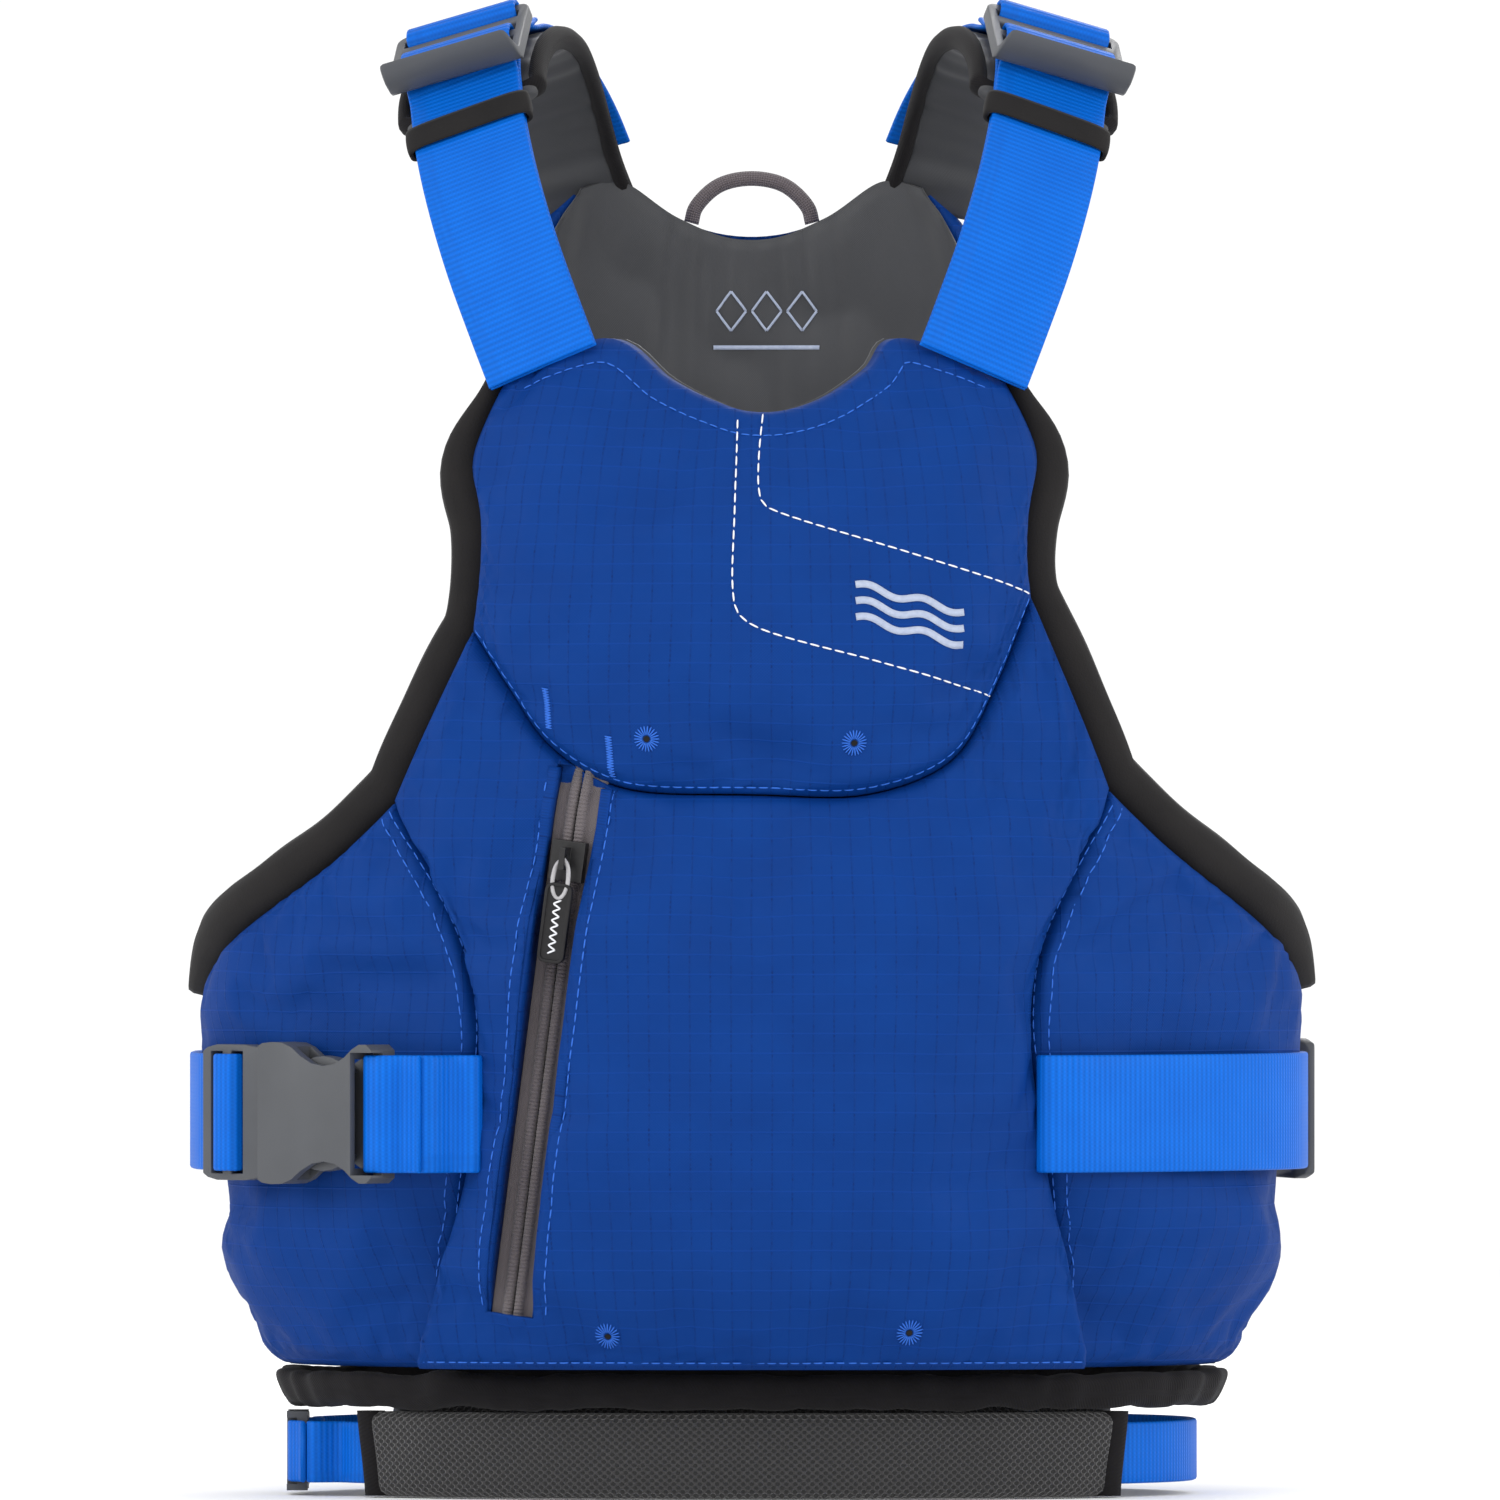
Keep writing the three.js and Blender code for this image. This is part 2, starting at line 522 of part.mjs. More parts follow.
// Ladder lock: x along the webbing's width, y towards the bar it hangs from, z out. From the lip up its
// bars are the front, the gripping, the back and the hanging bar, with a slot between each two.
const LOCK = { width: WEB + 8, thickness: 4.6, bar: 4.6, slot: 5.6, hangSlot: 4.4, lip: 12 };
LOCK.depth = 4 * LOCK.bar + 2 * LOCK.slot + LOCK.hangSlot;
const lockSlots = { near: -LOCK.depth / 2 + LOCK.bar + LOCK.slot / 2 };
lockSlots.far = lockSlots.near + LOCK.slot + LOCK.bar;
lockSlots.hang = LOCK.depth / 2 - LOCK.bar - LOCK.hangSlot / 2;
function ladderLock() {
  const { width, depth, thickness, slot, hangSlot, lip } = LOCK;
  const half = WEB / 2 + 0.8;
  const hole = (y, size) => rectangle(-half, half, y - size / 2, y + size / 2);
  const body = plate(chamfered(-width / 2, width / 2, -depth / 2, depth / 2, 3), thickness,
    [hole(lockSlots.near, slot), hole(lockSlots.far, slot), hole(lockSlots.hang, hangSlot)]);
  const lipProfile = [[-depth / 2 + 1, 0.5], [-depth / 2 + 1, thickness - 0.5],
    [-depth / 2 - lip + 2, thickness + 5], [-depth / 2 - lip, thickness + 3.5], [-depth / 2 - 2, 0.5]];
  const thumbLip = plate(lipProfile, width - 4)
    .applyMatrix4(new THREE.Matrix4().makeBasis(new THREE.Vector3(0, 1, 0), new THREE.Vector3(0, 0, 1),
      new THREE.Vector3(1, 0, 0))).translate(-width / 2 + 2, 0, 0);
  return join(body, thumbLip);
}

// Where webbing runs in a lock, through the points local(y, z) gives.
const turn = WEB_THICK / 2 + CLEARANCE;
const above = LOCK.thickness + turn + 0.3;
function roundHangingBar(local) {
  const end = LOCK.depth / 2;
  const { hang } = lockSlots;
  return [local(end + 3, -4.6), local(end - 1, -2.4), local(end - 4.4, -turn - 0.4), local(hang + 0.5, -0.6),
    local(hang, 1.2), local(hang, 3.6), local(hang + 1, above - 0.7), local(hang + 2.6, above),
    local(end - 0.6, above), local(end + turn, above - 1.2), local(end + turn + 0.6, 2.6),
    local(end + turn + 1.2, 0.2), local(end + 4.6, -2.2)];
}
function overGrippingBar(local) {
  const { near, far } = lockSlots;
  const grip = (near + far) / 2;
  return [local(near - 3, -turn - 0.6), local(near - 0.8, -0.6), local(near, 1.4), local(near, 3.4),
    local(near + 1, above - 0.7), local(near + 3, above), local(far - 3, above), local(far - 1, above - 0.7),
    local(far, 3.4), local(far, 1.2), local(far - 0.8, -1), local(grip + 2.6, -2.6), local(grip + 0.5, -3.8),
    local(grip - 3.4, -4.9)];
}

// Side-release buckle for a webbing width: x towards the latch, y across, z out; x = 0 is the mouth.
function buckleSizes(web) {
  const scale = web / 38;
  return {
    web,
    length: 1.3 * web,
    width: web + 8 * Math.sqrt(scale),
    thickness: 1.5 + 10 * scale,
    wall: 1 + 1.2 * scale,
    bar: 3.6 * scale + 0.4,
    slot: 3.8 * scale + 1.2,
    plate: 0.75 * web,
    spread: 4 * scale,
  };
}

function buckleFemale({ web, length, width, thickness, wall, bar, slot, spread: hook }) {
  const outline = new THREE.Shape();
  outline.moveTo(0, -width / 2);
  outline.lineTo(0, width / 2);
  outline.quadraticCurveTo(-length * 0.4, width / 2 - 2 * wall, -length * 0.75, width / 2);
  outline.lineTo(-length, width / 2);
  outline.lineTo(-length, -width / 2);
  outline.lineTo(-length * 0.75, -width / 2);
  outline.quadraticCurveTo(-length * 0.4, -width / 2 + 2 * wall, 0, -width / 2);
  const body = new THREE.ExtrudeGeometry(outline, { depth: thickness, bevelEnabled: false, curveSegments: 6 });
  const inside = width / 2 - 1.5 * wall - hook * 0.5;
  const room = thickness - 2 * wall;
  const cavity = block(-length * 0.62, -inside, wall, length, 2 * inside, room);
  const windows = block(-length * 0.56, -width, wall, length * 0.3, 2 * width, room);
  const webSlot = block(-length + bar, -web / 2 - 0.8, -1, slot, web + 1.6, thickness + 2);
  const webStep = block(-length - 1, -web / 2 - 0.8, thickness * 0.5, bar + slot / 2 + 1, web + 1.6, thickness);
  return cut(body, cavity, windows, webSlot, webStep);
}

function buckleLatch({ web, length, width, thickness, wall, bar, slot, plate: reach }) {
  const outline = chamfered(CLEARANCE, CLEARANCE + reach, -width / 2 + 1, width / 2 - 1, 2);
  const slotAt = (x) => block(x, -web / 2 - 0.8, -1, slot, web + 1.6, thickness);
  const base = cut(plate(outline, thickness * 0.62), slotAt(reach - bar - slot), slotAt(reach - 2 * (bar + slot)));
  const room = thickness - 2 * wall - 2 * CLEARANCE;
  const tongue = block(-length * 0.4, -width * 0.08, wall + CLEARANCE, length * 0.4 + 2, width * 0.16, room);
  return join(base, tongue);
}

function buckleArm({ length, width, thickness, wall, spread: hook }, side) {
  const inside = width / 2 - 1.5 * wall - hook * 0.5 - CLEARANCE;
  const outline = [[0.1, inside - 1.6 * hook], [-length * 0.24, inside - 1.2 * hook],
    [-length * 0.5, inside - 1.1 * hook], [-length * 0.52, inside - 0.5 * hook],
    [-length * 0.46, inside + 0.2 * hook], [-length * 0.28, inside + 0.55 * hook],
    [-length * 0.275, inside - 0.1 * hook], [-length * 0.1, inside - 0.6 * hook], [0.1, inside - 0.5 * hook]];
  const room = thickness - 2 * wall - 2 * CLEARANCE;
  const points = outline.map(([x, y]) => [x, side * y]);
  return plate(side > 0 ? points : points.reverse(), room).translate(0, 0, wall + CLEARANCE);
}

// A group at a point whose x, y and z are the given directions.
function placed(at, x, y, z, parent = vest) {
  const group = new THREE.Group();
  group.position.set(...at);
  group.setRotationFromMatrix(new THREE.Matrix4().makeBasis(x, y, z));
  parent.add(group);
  group.updateMatrixWorld(true);
  return group;
}

// ---------------------------------------------------------------- shoulders

const SHOULDER_SHIFT = 2;       // both shoulders sit this far to the wearer's left
const shoulderLine = [[56, 80, 425], [66, 62, 449], [78, 33, 466], [88, 1, 469], [93, -31, 457],
  [90, -58, 433], [83, -77, 407], [73, -86, 379]];
const PAD_SPAN = [0.035, 0.63];
const LOCK_AT = 0.545;
const WEB_RISE = PAD_THICK / 2 + 0.9 + WEB_THICK / 2;
const LAYER = WEB_THICK + CLEARANCE;
for (const side of [-1, 1]) {
  const name = side < 0 ? 'right' : 'left';
  const line = shoulderLine.map(([x, y, z]) => [side * x + SHOULDER_SHIFT, y, z]);
  const curve = new THREE.CatmullRomCurve3(line.map((p) => new THREE.Vector3(...p)), false, 'centripetal');
  const across = frameOn(curve, [-0.94, side * -0.1, side * 0.33], LOCK_AT).side.toArray();
  piece(`shoulder_pad_${name}`, ribbon(line, { across, width: PAD_WIDTH, thickness: PAD_THICK, steps: 16,
    span: PAD_SPAN }), neoprene);

  const { at, along, side: sideways, normal } = frameOn(curve, across, LOCK_AT);
  const rise = WEB_RISE + LAYER + WEB_THICK + 1;
  const seat = at.clone().addScaledVector(normal, rise);
  const lock = placed(seat.toArray(), sideways.clone().negate(), along.clone().negate(), normal);
  piece(`shoulder_lock_${name}`, ladderLock(), acetal, lock);
  const local = (y, z) => new THREE.Vector3(0, y, z).applyMatrix4(lock.matrixWorld).toArray();
  const lifted = (t, lift) => {
    const f = frameOn(curve, across, t);
    return f.at.addScaledVector(f.normal, lift).toArray();
  };

  // The webbing the lock hangs from is sewn along the pad, goes round the lock's hanging bar and back.
  const hanger = [...[0.06, 0.1, 0.14, 0.19, 0.24, 0.29, 0.34, 0.385, 0.43].map((t) => lifted(t, WEB_RISE)),
    ...roundHangingBar(local), lifted(0.46, WEB_RISE + LAYER + 0.3), lifted(0.42, WEB_RISE + LAYER + 0.2)];
  piece(`shoulder_hanger_${name}`, ribbon(hanger,
    { across, width: WEB, thickness: WEB_THICK, steps: hanger.length - 1 }), webbing);

  // The adjustable webbing comes up from the chest, over the gripping bar and back down underneath.
  const up = [1, 0.9, 0.8, 0.7, 0.61].map((t) => lifted(t, WEB_RISE + LAYER));
  const down = [0.605, 0.7, 0.8, 0.9, 0.995].map((t) => lifted(t, WEB_RISE));
  const strap = [...up, ...overGrippingBar(local), ...down];
  piece(`shoulder_strap_${name}`, ribbon(strap,
    { across, width: WEB, thickness: WEB_THICK, steps: strap.length - 1 }), webbing);

  // An elastic band holds both layers together.
  const bandAt = frameOn(curve, across, 0.68);
  const bandSeat = bandAt.at.clone().addScaledVector(bandAt.normal, WEB_RISE + LAYER / 2);
  const band = placed(bandSeat.toArray(), bandAt.side.clone().negate(), bandAt.along.clone().negate(),
    bandAt.normal);
  const inside = { x: WEB / 2 + 1, z: WEB_THICK + CLEARANCE + 0.6 };
  piece(`strap_keeper_${name}`, cut(block(-inside.x - 1.2, -5, -inside.z - 0.9, 2 * inside.x + 2.4, 10,
    2 * inside.z + 1.8), block(-inside.x, -6, -inside.z, 2 * inside.x, 12, 2 * inside.z)), neoprene, band);
}

// ---------------------------------------------------------------- waist webbing

// The right side opens with a buckle; d runs along it from the sewn end to the latch.
const BUCKLE = buckleSizes(WEB);
const plan = (x, y) => new THREE.Vector3(x, y, 0);
function buckleAt(mouth, d, sizes, names) {
  const out = new THREE.Vector3().crossVectors(d, new THREE.Vector3(0, 0, 1)).negate();
  const fixed = placed(mouth.toArray(), d, new THREE.Vector3().crossVectors(out, d), out);
  const moving = placed([0, 0, 0], new THREE.Vector3(1, 0, 0), new THREE.Vector3(0, 1, 0),
    new THREE.Vector3(0, 0, 1), fixed);
  piece(`${names}_buckle`, buckleFemale(sizes), acetal, fixed);
  piece(`${names}_latch`, buckleLatch(sizes), acetal, moving);
  piece(`${names}_latch_arm_upper`, buckleArm(sizes, 1), acetal, moving);
  piece(`${names}_latch_arm_lower`, buckleArm(sizes, -1), acetal, moving);
  return (x, z) => new THREE.Vector3(x, 0, z).applyMatrix4(fixed.matrixWorld).toArray();
}

// Webbing sewn round the fixed half's bar, and webbing threaded through the latch's two slots.
function roundBuckleBar(on, { length, bar, slot, thickness }) {
  const past = thickness * 0.5 + turn + 0.3;
  return [on(-length - 12, -1.2), on(-length + bar, -1.5), on(-length + bar + slot / 2, 1),
    on(-length + bar + slot / 2 - 0.6, past), on(-length + bar / 2, past + 0.6),
    on(-length - 1.6, past - 1), on(-length - 5, 1.8), on(-length - 12, 1.2)];
}
function overLatchBar(on, { bar, slot, thickness, plate: reach }) {
  const first = reach - slot / 2 - bar;
  const second = first - bar - slot;
  const top = thickness * 0.62 + turn + 0.2;
  return [on(reach + 6, -1.4), on(first + 1, -1.5), on(first, 1.2), on(first - 0.8, top - 0.4),
    on((first + second) / 2, top + 0.2), on(second + 0.8, top - 0.4), on(second, 1.2), on(second + 1, -2),
    on(first, -3.9), on(reach + 6, -3.9)];
}
const upright = (points, width) => ribbon(points,
  { across: [0, 0, -1], width, thickness: WEB_THICK, steps: points.length - 1 });

const waistMouth = plan(-152.5, -75).setZ(WAIST_HEIGHT);
const onWaist = buckleAt(waistMouth, plan(-0.753, 0.659).normalize(), BUCKLE, 'waist');
const onWing = (x) => onForm(angleAt(x, WAIST_HEIGHT, FOAM_FRONT + 6), WAIST_HEIGHT, FOAM_FRONT + 6);
const round = (angle, out) => onForm(angle, WAIST_HEIGHT, out);
piece('waist_strap_right', upright([onWing(-90), onWing(-96), ...roundBuckleBar(onWaist, BUCKLE)], WEB), webbing);
piece('waist_webbing_right', upright([round(-132, 32), round(-122, 29), round(-110, 25), round(-98, 22.5),
  ...overLatchBar(onWaist, BUCKLE)], WEB), webbing);

// The left side is adjusted with a ladder lock and stays closed.
{
  const LOCK_ANGLE = 107;
  const LOCK_OUT = 19.5;
  const LIP_TUCK = 11;          // degrees, so that the lip follows the wing instead of standing off it
  const heading = THREE.MathUtils.degToRad(facing(LOCK_ANGLE, WAIST_HEIGHT, LOCK_OUT) - LIP_TUCK);
  const seat = round(LOCK_ANGLE, LOCK_OUT);
  const lock = placed(seat, new THREE.Vector3(0, 0, -1), plan(Math.cos(heading), Math.sin(heading)),
    plan(Math.sin(heading), -Math.cos(heading)));
  const local = (y, z) => new THREE.Vector3(0, y, z).applyMatrix4(lock.matrixWorld).toArray();
  piece('waist_lock', ladderLock(), acetal, lock);
  piece('waist_strap_left', upright([onWing(98), onWing(106), ...[[44, 28], [58, 25], [72, 22.6],
    [82, 20.8], [90, 19]].map(([a, out]) => round(a, out)), ...overGrippingBar(local), local(-16, -5.4),
  local(-30, -6)], WEB), webbing);
  piece('waist_hanger_left', upright([round(136, 32.6), round(128, 32.2), round(121, 28.4),
    ...roundHangingBar(local), round(119.6, 31), round(125, 35.3)], WEB), webbing);
}

// ---------------------------------------------------------------- hem and waist belt

const hemSheet = (from, to) => (u, v) => [THREE.MathUtils.lerp(from, to, u),
  THREE.MathUtils.lerp(BELT_HEIGHT - 14, HEM - 1.5, v)];
piece('hem_binding_front', layer(hemSheet(-SIDE_ANGLE, SIDE_ANGLE), 16, 1, -1, 9), neoprene);
piece('hem_binding_back', layer(hemSheet(SIDE_ANGLE + 0.6, 359.4 - SIDE_ANGLE), 16, 1, -1, 9), neoprene);

const PAD_TOP = BELT_HEIGHT - 14.4;
const band = (from, to, thick) => layer((u, v) => [THREE.MathUtils.lerp(from, to, u), v * PAD_TOP],
  Math.max(1, Math.round((to - from) / 10)), 1, 0, thick);
const BELT_WEB = 20;
const BELT_LINE = 14;
const padEnds = [-53.5, 49];
const backPadEnds = [130, 230];
piece('belt_pad_front', band(...padEnds, BELT_THICK), spacerMesh);
piece('belt_pad_back', band(...backPadEnds, BELT_THICK), spacerMesh);
const END = 3.5;
piece('belt_end_right', band(padEnds[0] - END, padEnds[0] - 0.2, BELT_THICK + 1), neoprene);
piece('belt_end_left', band(padEnds[1] + 0.2, padEnds[1] + END, BELT_THICK + 1), neoprene);

const BELT_BUCKLE = buckleSizes(BELT_WEB);
const [beltX] = onForm(-90, BELT_LINE, 3.2);
const onBelt = buckleAt(new THREE.Vector3(beltX, -2, BELT_LINE), plan(0, 1), BELT_BUCKLE, 'belt');
const girth = (angle) => onForm(angle, BELT_LINE, 3);
function stepsTo(from, to) {
  const steps = Math.max(1, Math.round(Math.abs(to - from) / 8));
  return Array.from({ length: steps + 1 }, (_, i) => girth(from + ((to - from) * i) / steps));
}
piece('belt_webbing_right', upright([...stepsTo(padEnds[0] - END - 0.4, -66),
  ...roundBuckleBar(onBelt, BELT_BUCKLE)], BELT_WEB), webbing);
piece('belt_webbing_back', upright([...stepsTo(backPadEnds[1] - 360 + 0.8, -116),
  ...overLatchBar(onBelt, BELT_BUCKLE)], BELT_WEB), webbing);
piece('belt_webbing_left', upright(stepsTo(padEnds[1] + END + 0.4, backPadEnds[0] - 0.4), BELT_WEB), webbing);

// ---------------------------------------------------------------- hanging loop

{
  const [, y, z] = [0, halfDepth(413) + 7, 414.5];
  const loop = placed([0, y, z], new THREE.Vector3(1, 0, 0), new THREE.Vector3(0, 1, 0), new THREE.Vector3(0, 0, 1));
  const arch = new THREE.CatmullRomCurve3([[-20, 0, 2.3], [-18.5, 0, 7.4], [-11, 0, 14.6], [0, 0, 17], [11, 0, 14.6],
    [18.5, 0, 7.4], [20, 0, 2.3]].map((p) => new THREE.Vector3(...p)), false, 'centripetal');
  piece('hang_loop', new THREE.ExtrudeGeometry(circle(CORD / 2, 8), { steps: 16, extrudePath: arch }), braid,
    loop);
}

// The waist lock stands out further than the buckle, so the middle of the whole is moved to the origin.
vest.position.set(-3, 2, 0);

export default vest;
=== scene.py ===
# A paddling buoyancy vest: foam panels in ripstop covers, webbing, moulded locks and buckles, a pocket zip
# and a mesh waist belt. Metres, +Z up, -Y the wearer's front; right and left are the wearer's.
import math

import bmesh
import bpy
import numpy as np
from mathutils import Matrix, Vector
from mathutils.bvhtree import BVHTree


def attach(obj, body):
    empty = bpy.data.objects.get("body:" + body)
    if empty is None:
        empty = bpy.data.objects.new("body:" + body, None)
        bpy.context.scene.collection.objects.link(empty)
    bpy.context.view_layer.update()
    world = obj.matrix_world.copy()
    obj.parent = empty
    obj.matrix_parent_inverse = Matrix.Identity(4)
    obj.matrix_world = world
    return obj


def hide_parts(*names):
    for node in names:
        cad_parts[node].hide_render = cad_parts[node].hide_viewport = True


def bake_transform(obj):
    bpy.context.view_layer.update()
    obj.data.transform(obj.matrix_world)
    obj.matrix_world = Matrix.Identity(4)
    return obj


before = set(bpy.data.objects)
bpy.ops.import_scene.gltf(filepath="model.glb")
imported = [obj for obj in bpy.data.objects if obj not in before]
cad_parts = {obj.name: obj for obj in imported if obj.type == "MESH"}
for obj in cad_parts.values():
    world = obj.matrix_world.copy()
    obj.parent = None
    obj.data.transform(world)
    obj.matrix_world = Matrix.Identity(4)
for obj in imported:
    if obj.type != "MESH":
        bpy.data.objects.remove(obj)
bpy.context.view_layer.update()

bpy.ops.object.select_all(action="DESELECT")


# ------------------------------------------------------------------ studio
# A white floor and a white room, a large soft light over the front and a weaker one on each side.
# The camera stands far off, straight in front, so the vest is seen almost without perspective.

VIEW_HEIGHT = 0.2425            # the lens, above the floor
VIEW_X = -0.0036
VIEW_DISTANCE = 8.0             # from the lens to the plane of the side seams
SEAM_PLANE = -0.06
SEEN_WIDTH = 0.487              # what the frame takes in at that plane


def linear(code):
    """An sRGB hex colour as a linear one."""
    shares = [int(code[i:i + 2], 16) / 255 for i in (1, 3, 5)]
    return [s / 12.92 if s <= 0.04045 else ((s + 0.055) / 1.055) ** 2.4 for s in shares] + [1.0]


def add(tree, kind, links=None, **settings):
    """Adds a node. A link's value is a socket, a node, for its first output, or a plain value."""
    made = tree.nodes.new("ShaderNode" + kind)
    for key, value in settings.items():
        setattr(made, key, value)
    for key, value in (links or {}).items():
        if isinstance(value, bpy.types.Node):
            value = value.outputs[0]
        if isinstance(value, bpy.types.NodeSocket):
            tree.links.new(value, made.inputs[key])
        else:
            made.inputs[key].default_value = value
    return made


def finish_named(name, roughness, **values):
    """A material with those values on its shader, its node tree and the shader."""
    look = bpy.data.materials.new(name)
    look.use_nodes = True
    shader = look.node_tree.nodes["Principled BSDF"]
    shader.inputs["Roughness"].default_value = roughness
    for key, value in values.items():
        shader.inputs[key.replace("_", " ")].default_value = value
    return look, look.node_tree, shader


def emboss(tree, shader, height, strength, distance):
    bump = add(tree, "Bump", {"Height": height, "Strength": strength, "Distance": distance})
    tree.links.new(bump.outputs[0], shader.inputs["Normal"])


def weave(tree, place, pitch):
    """A plain weave's relief, -1 to 1, over a pitch in mm across and along."""
    scaled = add(tree, "Mapping", {"Vector": place, "Scale": [2000 * math.pi / pitch[0], 2000 * math.pi / pitch[1], 1]})
    thread = add(tree, "SeparateXYZ", {"Vector": scaled})
    warp = add(tree, "Math", {0: thread.outputs["X"]}, operation="SINE")
    weft = add(tree, "Math", {0: thread.outputs["Y"]}, operation="SINE")
    return add(tree, "Math", {0: warp, 1: weft}, operation="MULTIPLY")


camera_data = bpy.data.cameras.new("studio_camera")
camera_data.sensor_width = 36
camera_data.lens = 36 * VIEW_DISTANCE / SEEN_WIDTH
camera_data.clip_end = 100
camera = bpy.data.objects.new("studio_camera", camera_data)
camera.location = (VIEW_X, SEAM_PLANE - VIEW_DISTANCE, VIEW_HEIGHT)
camera.rotation_euler = (math.radians(90), 0, 0)
bpy.context.scene.collection.objects.link(camera)
bpy.context.scene.camera = camera
bpy.context.scene.view_settings.view_transform = "Standard"

bpy.ops.mesh.primitive_plane_add(size=8, location=(0, 0, -0.0005))
floor = bpy.context.object
floor.name = "studio_floor"
paint, tree, shader = finish_named("matt_white_studio_paint", 0.9)
grain = add(tree, "TexNoise", {"Scale": 90.0, "Detail": 3.0})
ramp = add(tree, "MapRange", {"Value": grain, "To Min": 0.95, "To Max": 0.99})
tint = add(tree, "CombineColor", {"Red": ramp, "Green": ramp, "Blue": ramp})
tree.links.new(tint.outputs[0], shader.inputs["Base Color"])
floor.data.materials.append(paint)

room = bpy.data.worlds.new("white_room")
room.use_nodes = True
room.node_tree.nodes["Background"].inputs["Color"].default_value = (1, 1, 1, 1)
room.node_tree.nodes["Background"].inputs["Strength"].default_value = 1.06
bpy.context.scene.world = room
for name, place, size, power in [
    ("key_light", (-0.5, -1.7, 1.5), 0.9, 8), ("left_light", (1.5, -0.8, 0.7), 0.7, 9),
    ("right_light", (-1.5, -0.8, 0.7), 0.7, 8), ("back_light", (0.3, 1.6, 1.4), 0.9, 10),
]:
    light = bpy.data.lights.new(name, "AREA")
    light.size, light.energy = size, power
    lamp = bpy.data.objects.new(name, light)
    lamp.location = place
    lamp.rotation_euler = (Vector((0, 0, 0.25)) - Vector(place)).to_track_quat("-Z", "Y").to_euler()
    bpy.context.scene.collection.objects.link(lamp)


# ------------------------------------------------------------------ front pocket panel
# A sheet of soft foam in a sewn cover of ripstop nylon, 320 denier, coated on its inner side. Blue thread
# squares 6 mm apart show as dark dotted columns and paler rows, and the cloth puckers beside its seams.
# The wearer's form gives every panel its place: an angle round the chest, a height, and a distance out.

CHEST_WIDTH = 326
CHEST_DEPTH = 176
FORM_POWER = 0.86
SHIFT = np.array([-3.0, 2.0, 0.0])      # the middle of the whole vest is the origin
SEAM_DEPTH = 27                         # foam and cover at the front seams
CROWN = 8
HEM = 42
RIPSTOP_SQUARE = 6.3                    # mm
WEAVE = 0.95                            # mm: the real 0.4 mm weave is too fine to show
RIPSTOP_BLUE = "#023780"
RIPSTOP_DEEP = "#022e70"
RIPSTOP_DARK_THREAD = "#03174c"
RIPSTOP_PALE_THREAD = "#1248ac"


def against(knots):
    heights, values = (np.array(row, float) for row in zip(*knots))

    def value(height):
        i = np.clip(np.searchsorted(heights, height, side="right") - 1, 0, len(heights) - 2)
        t = np.clip((height - heights[i]) / (heights[i + 1] - heights[i]), 0, 1)
        return values[i] + (values[i + 1] - values[i]) * (t * t * (3 - 2 * t) * 0.5 + t * 0.5)
    return value


width_share = against([[0, 0.86], [30, 0.88], [50, 0.93], [80, 0.965], [130, 0.99], [180, 1],
                       [240, 0.985], [310, 0.95], [370, 0.9], [440, 0.83], [500, 0.76]])
depth_share = against([[0, 0.9], [30, 0.92], [70, 0.96], [130, 0.98], [230, 1], [310, 0.995], [370, 0.95],
                       [440, 0.88], [500, 0.8]])


def bow(t):
    return np.sign(t) * np.abs(t) ** FORM_POWER


def on_form(degrees, height, out):
    """Millimetres, before the shift to the origin."""
    a = np.radians(degrees)
    x = (CHEST_WIDTH / 2 * width_share(height) + out) * bow(np.sin(a))
    y = -(CHEST_DEPTH / 2 * depth_share(height) + out) * bow(np.cos(a))
    return np.stack(np.broadcast_arrays(x, y, np.asarray(height, float)), -1)


def angle_at(x, height, out):
    share = np.minimum(np.abs(x) / (CHEST_WIDTH / 2 * width_share(height) + out), 1)
    return np.sign(x) * np.degrees(np.arcsin(share ** (1 / FORM_POWER)))


def front(x, height, out=SEAM_DEPTH):
    return [float(angle_at(x, height, out)), height]


def back(x, height):
    return [180 - float(angle_at(x, height, 21.5)), height]


def metres(points):
    return (np.asarray(points, float) + SHIFT) / 1000


turn_table = np.linspace(-190, 370, 2241)
turn_steps = np.linalg.norm(np.diff(on_form(turn_table, np.full(2241, 200.0), 26), axis=0), axis=1)
turn_lengths = np.concatenate([[0], np.cumsum(turn_steps)])
turn_lengths -= np.interp(0, turn_table, turn_lengths)


def round_length(degrees):
    """How far round the chest an angle is from the middle of the front, mm."""
    return np.interp(degrees, turn_table, turn_lengths)


def angle_of(length):
    return np.interp(length, turn_lengths, turn_table)


def through(points):
    """A smooth curve through [angle, height] points, over 0 to 1."""
    p = np.array(points, float)
    last = len(p) - 1

    def at(t):
        t = np.asarray(t, float)
        i = np.clip(np.floor(t * last).astype(int), 0, last - 1)
        w = (t * last - i)[..., None]
        p0, p1, p2, p3 = p[np.maximum(i - 1, 0)], p[i], p[i + 1], p[np.minimum(i + 2, last)]
        v0, v1 = (p2 - p0) / 2, (p3 - p1) / 2
        return ((2 * p1 - 2 * p2 + v0 + v1) * w ** 3 + (-3 * p1 + 3 * p2 - 2 * v0 - v1) * w ** 2 + v0 * w + p1)
    return at


def between(bottom, top, right, left):
    """The four-sided sheet between its edges: (u, v) gives angle and height."""
    def at(u, v):
        u, v = np.asarray(u, float)[..., None], np.asarray(v, float)[..., None]
        b0, b1, t0, t1 = bottom(0.0), bottom(1.0), top(0.0), top(1.0)
        return ((1 - v) * bottom(u[..., 0]) + v * top(u[..., 0]) + (1 - u) * right(v[..., 0])
                + u * left(v[..., 0]) - (1 - u) * (1 - v) * b0 - u * (1 - v) * b1 - (1 - u) * v * t0 - u * v * t1)
    return at


def swell(t):
    return 1 - np.abs(2 * t - 1) ** 6


def spread(t):
    return (1 - np.cos(np.pi * t)) / 2


